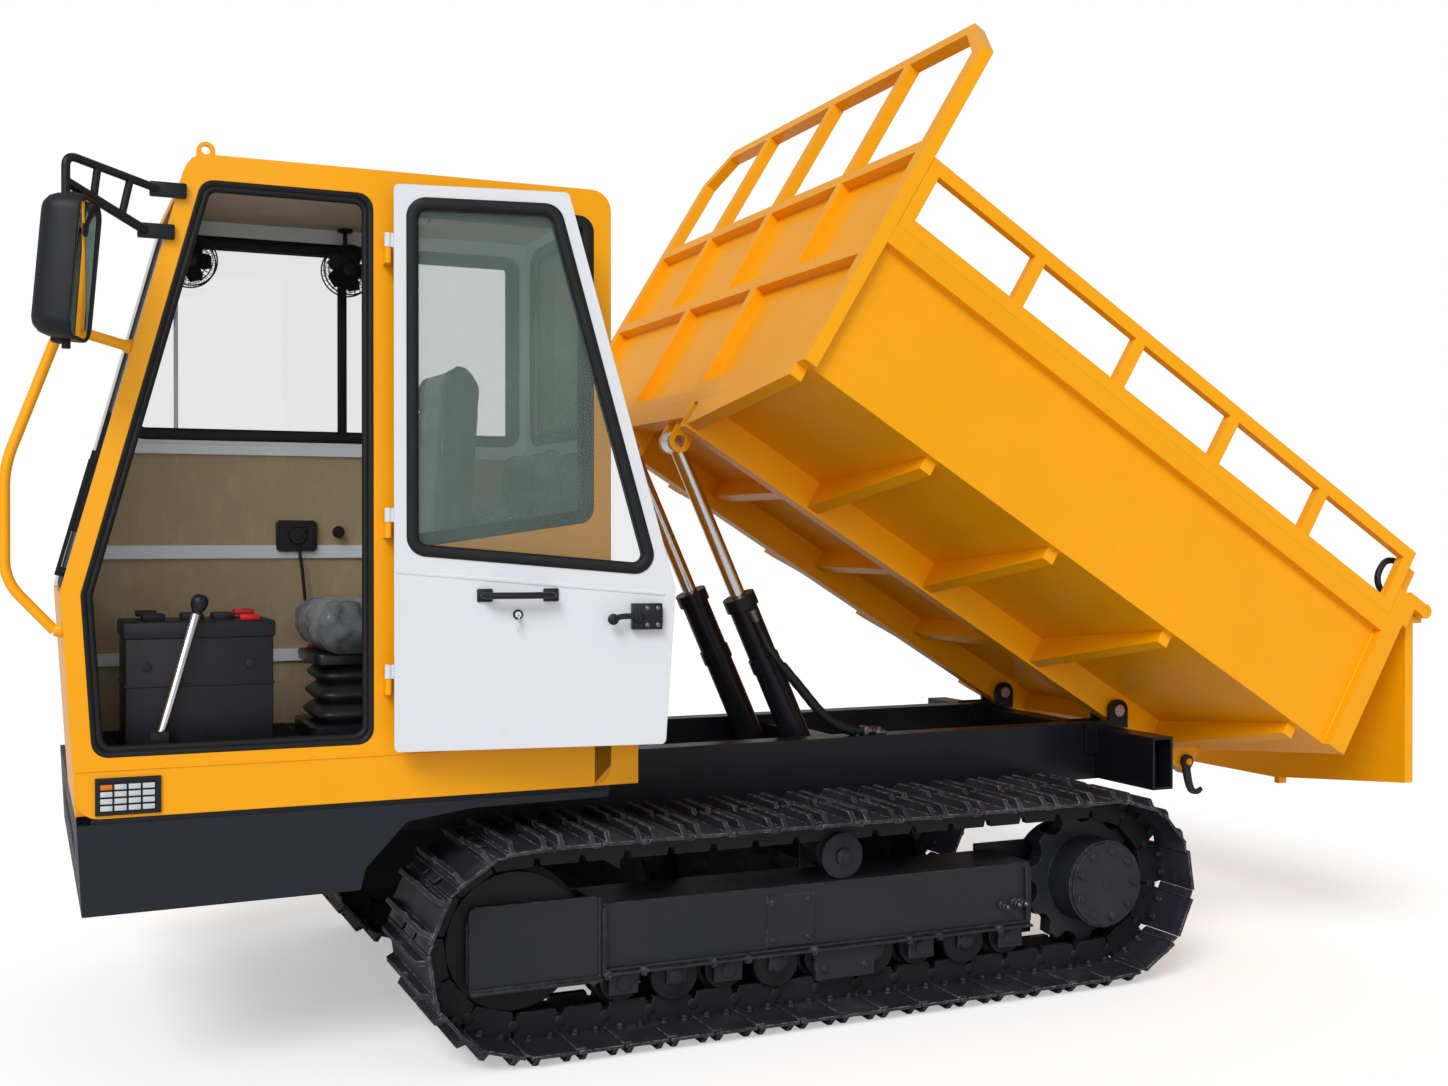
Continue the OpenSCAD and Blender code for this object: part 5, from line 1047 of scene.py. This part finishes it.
# Blocks on the side frame, as two corners with y counted out from the middle of the machine: the guard that closes the
# inner side between frame and chain, ledges and stops on the wall, and the rim of the inspection cover
SLABS = (((IDLER_X - 0.02, TRACK_Y - 0.1085, 0.1085), (SPROCKET_X - 0.11, TRACK_Y - 0.1015, FRAME_LOW + 0.006)),
         ((FRAME_FRONT + 0.006, ON_WALL, FRAME_LOW + 0.003), (FRAME_REAR - 0.012, WALL + 0.031, FRAME_LOW + 0.011)),
         ((FRAME_FRONT + 0.006, ON_WALL, FRAME_LOW + 0.012), (FRAME_REAR - 0.03, WALL + 0.014, FRAME_LOW + 0.02)),
         ((FRAME_FRONT + 0.001, ON_WALL, FRAME_LOW + 0.004), (FRAME_FRONT + 0.012, WALL + 0.026, FRAME_TOP - 0.006)),
         ((FRAME_REAR - 0.026, ON_WALL, FRAME_LOW + 0.02), (FRAME_REAR - 0.016, WALL + 0.012, FRAME_TOP - 0.012)),
         ((COVER_FRONT, ON_COVER, FRAME_LOW - 0.01), (FRAME_FRONT, COVER + 0.017, FRAME_LOW - 0.001)),
         ((COVER_FRONT, ON_COVER, FRAME_LOW - 0.0008), (FRAME_FRONT, COVER + 0.009, FRAME_LOW + 0.006)),
         ((FRAME_FRONT - 0.008, ON_COVER, FRAME_LOW), (FRAME_FRONT, COVER + 0.006, FRAME_TOP + 0.022)))

for sign, side in SIDES:
    out = Y * sign
    nuts = Piece(f"track_lips_{side}", CHAIN, TRACK)
    for k in range(LINKS):
        p, q = pin_at(k), pin_at(k + 1)
        lie = math.degrees(math.atan2(q.z - p.z, q.x - p.x))
        nuts.place = move(*((p + q) / 2 + out * TRACK_Y)) @ spin(-lie, "Y") @ move(0, 0, -LINK_H / 2)
        for x in (-0.03, 0.03):
            for y in (-0.0945, 0.0945):
                for outline, count in NUT:
                    nuts.lathe((x, y, 0), Z, outline, count=count)
        nuts.box((0.004, -0.0455, -0.0004), (0.022, 0.0455, 0.0035), 1, 0.001, (-LINK_PITCH / 2, 0, 0))
        for y0, y1 in SHOE_LIPS:
            nuts.box((-0.006, y0, -0.0006), (0.0215, y1, 0.0055), 1, 0.002, (LINK_PITCH / 2, 0, 0))
        nuts.place = Matrix.Identity(4)
        for y in (-1, 1):
            nuts.lathe(p + Y * (sign * TRACK_Y + y * 0.0735), Y * y,
                       [(0.0165, 0), (0.0165, 0.002), (0.014, 0.0038), (0.006, 0.0042)], count=18)
    nuts.done("chassis", "track_steel", 40)

    # Rollers between the jointed ones, each on an axle in two hangers
    plain = Piece(f"plain_rollers_{side}", CHAIN, FRAME_PAINT)
    for x in ROAD_XS[:-1]:
        at = Vector((x + ROAD_STEP / 2, sign * TRACK_Y, ROLLER_Z))
        plain.lathe(at, Y, [(r, -h) for r, h in ROLLER[::-1]] + ROLLER, count=40)
        for y in (-1, 1):
            plain.lathe(at + Y * (y * 0.09), Y * y,
                        [(0.0245, 0), (0.0245, 0.022), (0.02, 0.025), (0.008, 0.026)], 1, 24)
            plain.box((-0.03, -0.005, -0.02), (0.03, 0.005, 0.04), 1, 0.003, at + Y * (y * 0.104))
    plain.done("chassis", "track_steel", 40)

    fit = Piece(f"frame_fittings_{side}", FRAME_PAINT, BOLT)
    for (x0, y0, z0), (x1, y1, z1) in SLABS:
        y0, y1 = sorted((y0 * sign, y1 * sign))
        fit.box((x0, y0, z0), (x1, y1, z1), bevel=0.002)
    for x in [x + dx for x in ROAD_XS for dx in (-0.052, 0.052)]:
        if abs(x - CARRIER.x) > 0.02 and x < FRAME_REAR - 0.04:
            at = Vector((x, sign * (WALL + 0.0195), FRAME_LOW))
            fit.bolt(at + Z * 0.011, Z, 0.0085)
            fit.lathe(at + Z * 0.003, -Z, [(0.0135, -0.001), (0.0135, 0.007), (0.0115, 0.009)], count=6)
    for z in (FRAME_LOW + 0.055, FRAME_LOW + 0.12):
        fit.bolt((FRAME_FRONT + 0.011, sign * (WALL + 0.0145), z), X, 0.006)
    for x in (-0.232, -0.118):
        for z in (FRAME_LOW + 0.043, FRAME_TOP - 0.043):
            fit.bolt((CARRIER.x + x, sign * (WALL + 0.0048), z), out, 0.007)
    for x in (-0.066, 0.066):
        fit.bolt((CARRIER.x + x, sign * (WALL + 0.0058), 0.135), out, 0.0085)
    cap = CARRIER + out * TRACK_Y
    fit.lathe(cap + out * 0.1, out, [(0.012, 0), (0.012, 0.0047), (0.024, 0.0047), (0.026, 0.007), (0.026, 0.014),
                                     (0.022, 0.017), (0.008, 0.0185)])
    for k in range(3):
        fit.bolt(cap + out * 0.116 + around(0.016, 90 + k * 120), out, 0.0042)
    for x, z in ((-0.105, 0.262), (-0.064, 0.266), (-0.04, 0.266)):
        at = Vector((FRAME_REAR + x, sign * WALL, z))
        fit.lathe(at, out, [(0.016, -0.001), (0.016, 0.006), (0.014, 0.008)], count=20)
        fit.lathe(at, out, [(0.0115, 0.006), (0.0115, 0.02), (0.0095, 0.022)], 0, 6)
        fit.lathe(at, out, [(0.0055, 0.02), (0.0055, 0.028), (0.0075, 0.03), (0.0075, 0.036), (0.004, 0.039)], 1, 14)
    fit.bolt((FRAME_FRONT - 0.025, sign * (COVER + 0.0085), FRAME_LOW - 0.0095), -Z, 0.0085)
    fit.done("chassis", "charcoal_paint", 40)

    hub = Piece(f"hub_bolts_{side}", FRAME_PAINT, BOLT)
    face = Vector((SPROCKET_X, sign * (TRACK_Y + 0.1495), AXLE_Z))
    for k in range(9):
        hub.lathe(face + around(0.1026, k * 40), out, [(0.0145, 0), (0.0145, 0.003), (0.0125, 0.004), (0.0118, 0.0042),
                                                       (0.0118, 0.0102), (0.0095, 0.0118)], count=6)
    hub.lathe(face, out, [(0.018, 0), (0.018, 0.003), (0.013, 0.0045)], count=6)
    hub.lathe(face, out, [(0.121, -0.001), (0.1222, 0.0012), (0.1235, -0.001), (0.121, -0.001)], count=64)
    hub.done(f"sprocket_{side}", "charcoal_paint", 40)

# Small hardware of the bed: weld beads, and a black ring handle on its plate at each rear post
bed = Piece("bed_fittings", YELLOW, PLASTIC, BOLT, place=BED)
welds = 0


def weld(a, b, r=0.005):
    """A bead of weld with its ripples, which start differently on each."""
    global welds
    welds += 1
    a, b = Vector(a), Vector(b)
    count = max(6, int((b - a).length / 0.006))
    ripple = [0.5] + [0.82 + 0.18 * math.cos(i * 2.6 + welds) for i in range(1, count)] + [0.5]
    bed.sweep([a.lerp(b, i / count) for i in range(count + 1)], circle(r, 8), scale=ripple)


REAR_POST, FRONT_FENCE = BED_REAR - 0.07, -BED_FRONT + RAIL_W
POST_STEP = (REAR_POST - 0.0003 - FRONT_FENCE - RAIL_W) / 5
POST_FOOT = SIDE_TOP + RAIL_W - 0.001
HANDLE = ((-0.018, 0.012, -0.05), (-0.06, 0.018, -0.052), (-0.088, 0.02, -0.02), (-0.085, 0.02, 0.03),
          (-0.055, 0.018, 0.055), (-0.018, 0.012, 0.052))
for sign, _ in SIDES:
    for k in range(6):
        for edge in (0.001, RAIL_W - 0.001):
            x = FRONT_FENCE + k * POST_STEP + edge
            weld((x, sign * (SIDE_Y + 0.003), POST_FOOT), (x, sign * (BED_HALF - 0.004), POST_FOOT), 0.0042)
    skin = sign * (SIDE_Y + 0.001)
    weld((REAR_POST - 0.001, skin, SIDE_LOW + 0.02), (REAR_POST - 0.001, skin, SIDE_TOP - 0.065))
    weld((FRONT_FENCE + 0.02, skin, SIDE_TOP - 0.0625), (REAR_POST - 0.004, skin, SIDE_TOP - 0.0625), 0.004)
    at = Vector((REAR_POST + 0.03, sign * (SIDE_Y - 0.004), SIDE_TOP + 0.13))
    bed.box((-0.026, -0.005, -0.06), (0.026, 0.005, 0.06), 0, 0.003, at)
    for z in (-0.042, 0.042):
        bed.bolt(at + Vector((0, -sign * 0.0045, z)), -Y * sign, 0.006, 2)
    bed.sweep(curve([at + Vector((x, -sign * y, z)) for x, y, z in HANDLE], 6), circle(0.0105, 12), 1)
bed.done("bed", "yellow_paint", 40)

# Stage: pale floor, even white surroundings, a soft key light from the upper left and a weak fill
WHITE_LIGHT, AMBIENT = (1, 1, 1, 1), 0.42
mesh = bpy.data.meshes.new("floor")
mesh.from_pydata([(x, y, 0) for x, y in corners(-60, 60, -60, 60)], [], [(0, 1, 2, 3)])
floor = bpy.data.objects.new("floor", mesh)
scene.collection.objects.link(floor)
floor.location.z = cad_box[0][2] - 0.0005
mat = Nodes("floor_white").set(Base_Color=(0.8, 0.8, 0.8, 1), Roughness=0.9, Specular_IOR_Level=0.1)
lit = mat.bsdf.outputs[0]
seen = mat.add("ShaderNodeLightPath").outputs["Is Camera Ray"]
glow = mat.add("ShaderNodeEmission", {"Color": WHITE_LIGHT, "Strength": AMBIENT}).outputs[0]
bright = mat.add("ShaderNodeAddShader", {0: lit, 1: glow}).outputs[0]
mat.link(mat.add("ShaderNodeMixShader", {0: seen, 1: lit, 2: bright}).outputs[0], mat.out.inputs[0])
mesh.materials.append(mat.mat)

world = bpy.data.worlds.new("studio")
scene.world = world
world.use_nodes = True
tree = world.node_tree
back = tree.nodes["Background"]
back.inputs["Color"].default_value = WHITE_LIGHT
rays = tree.nodes.new("ShaderNodeLightPath")
most = tree.nodes.new("ShaderNodeMath")
most.operation = "MAXIMUM"
tree.links.new(rays.outputs["Is Camera Ray"], most.inputs[0])
tree.links.new(rays.outputs["Is Transmission Ray"], most.inputs[1])
level = tree.nodes.new("ShaderNodeMapRange")
level.inputs["To Min"].default_value = AMBIENT
level.inputs["To Max"].default_value = 1.0
tree.links.new(most.outputs[0], level.inputs["Value"])
tree.links.new(level.outputs["Result"], back.inputs["Strength"])


def sun(name, power, angle, towards):
    lamp = bpy.data.lights.new(name, "SUN")
    lamp.energy = power
    lamp.angle = math.radians(angle)
    obj = bpy.data.objects.new(name, lamp)
    obj.rotation_euler = Vector(towards).to_track_quat("-Z", "Y").to_euler()
    scene.collection.objects.link(obj)
    return obj


key = sun("key", 1.65, 25, (0.62, 0.66, -0.75))
fill = sun("fill", 0.95, 60, (0.35, 0.93, -0.12))
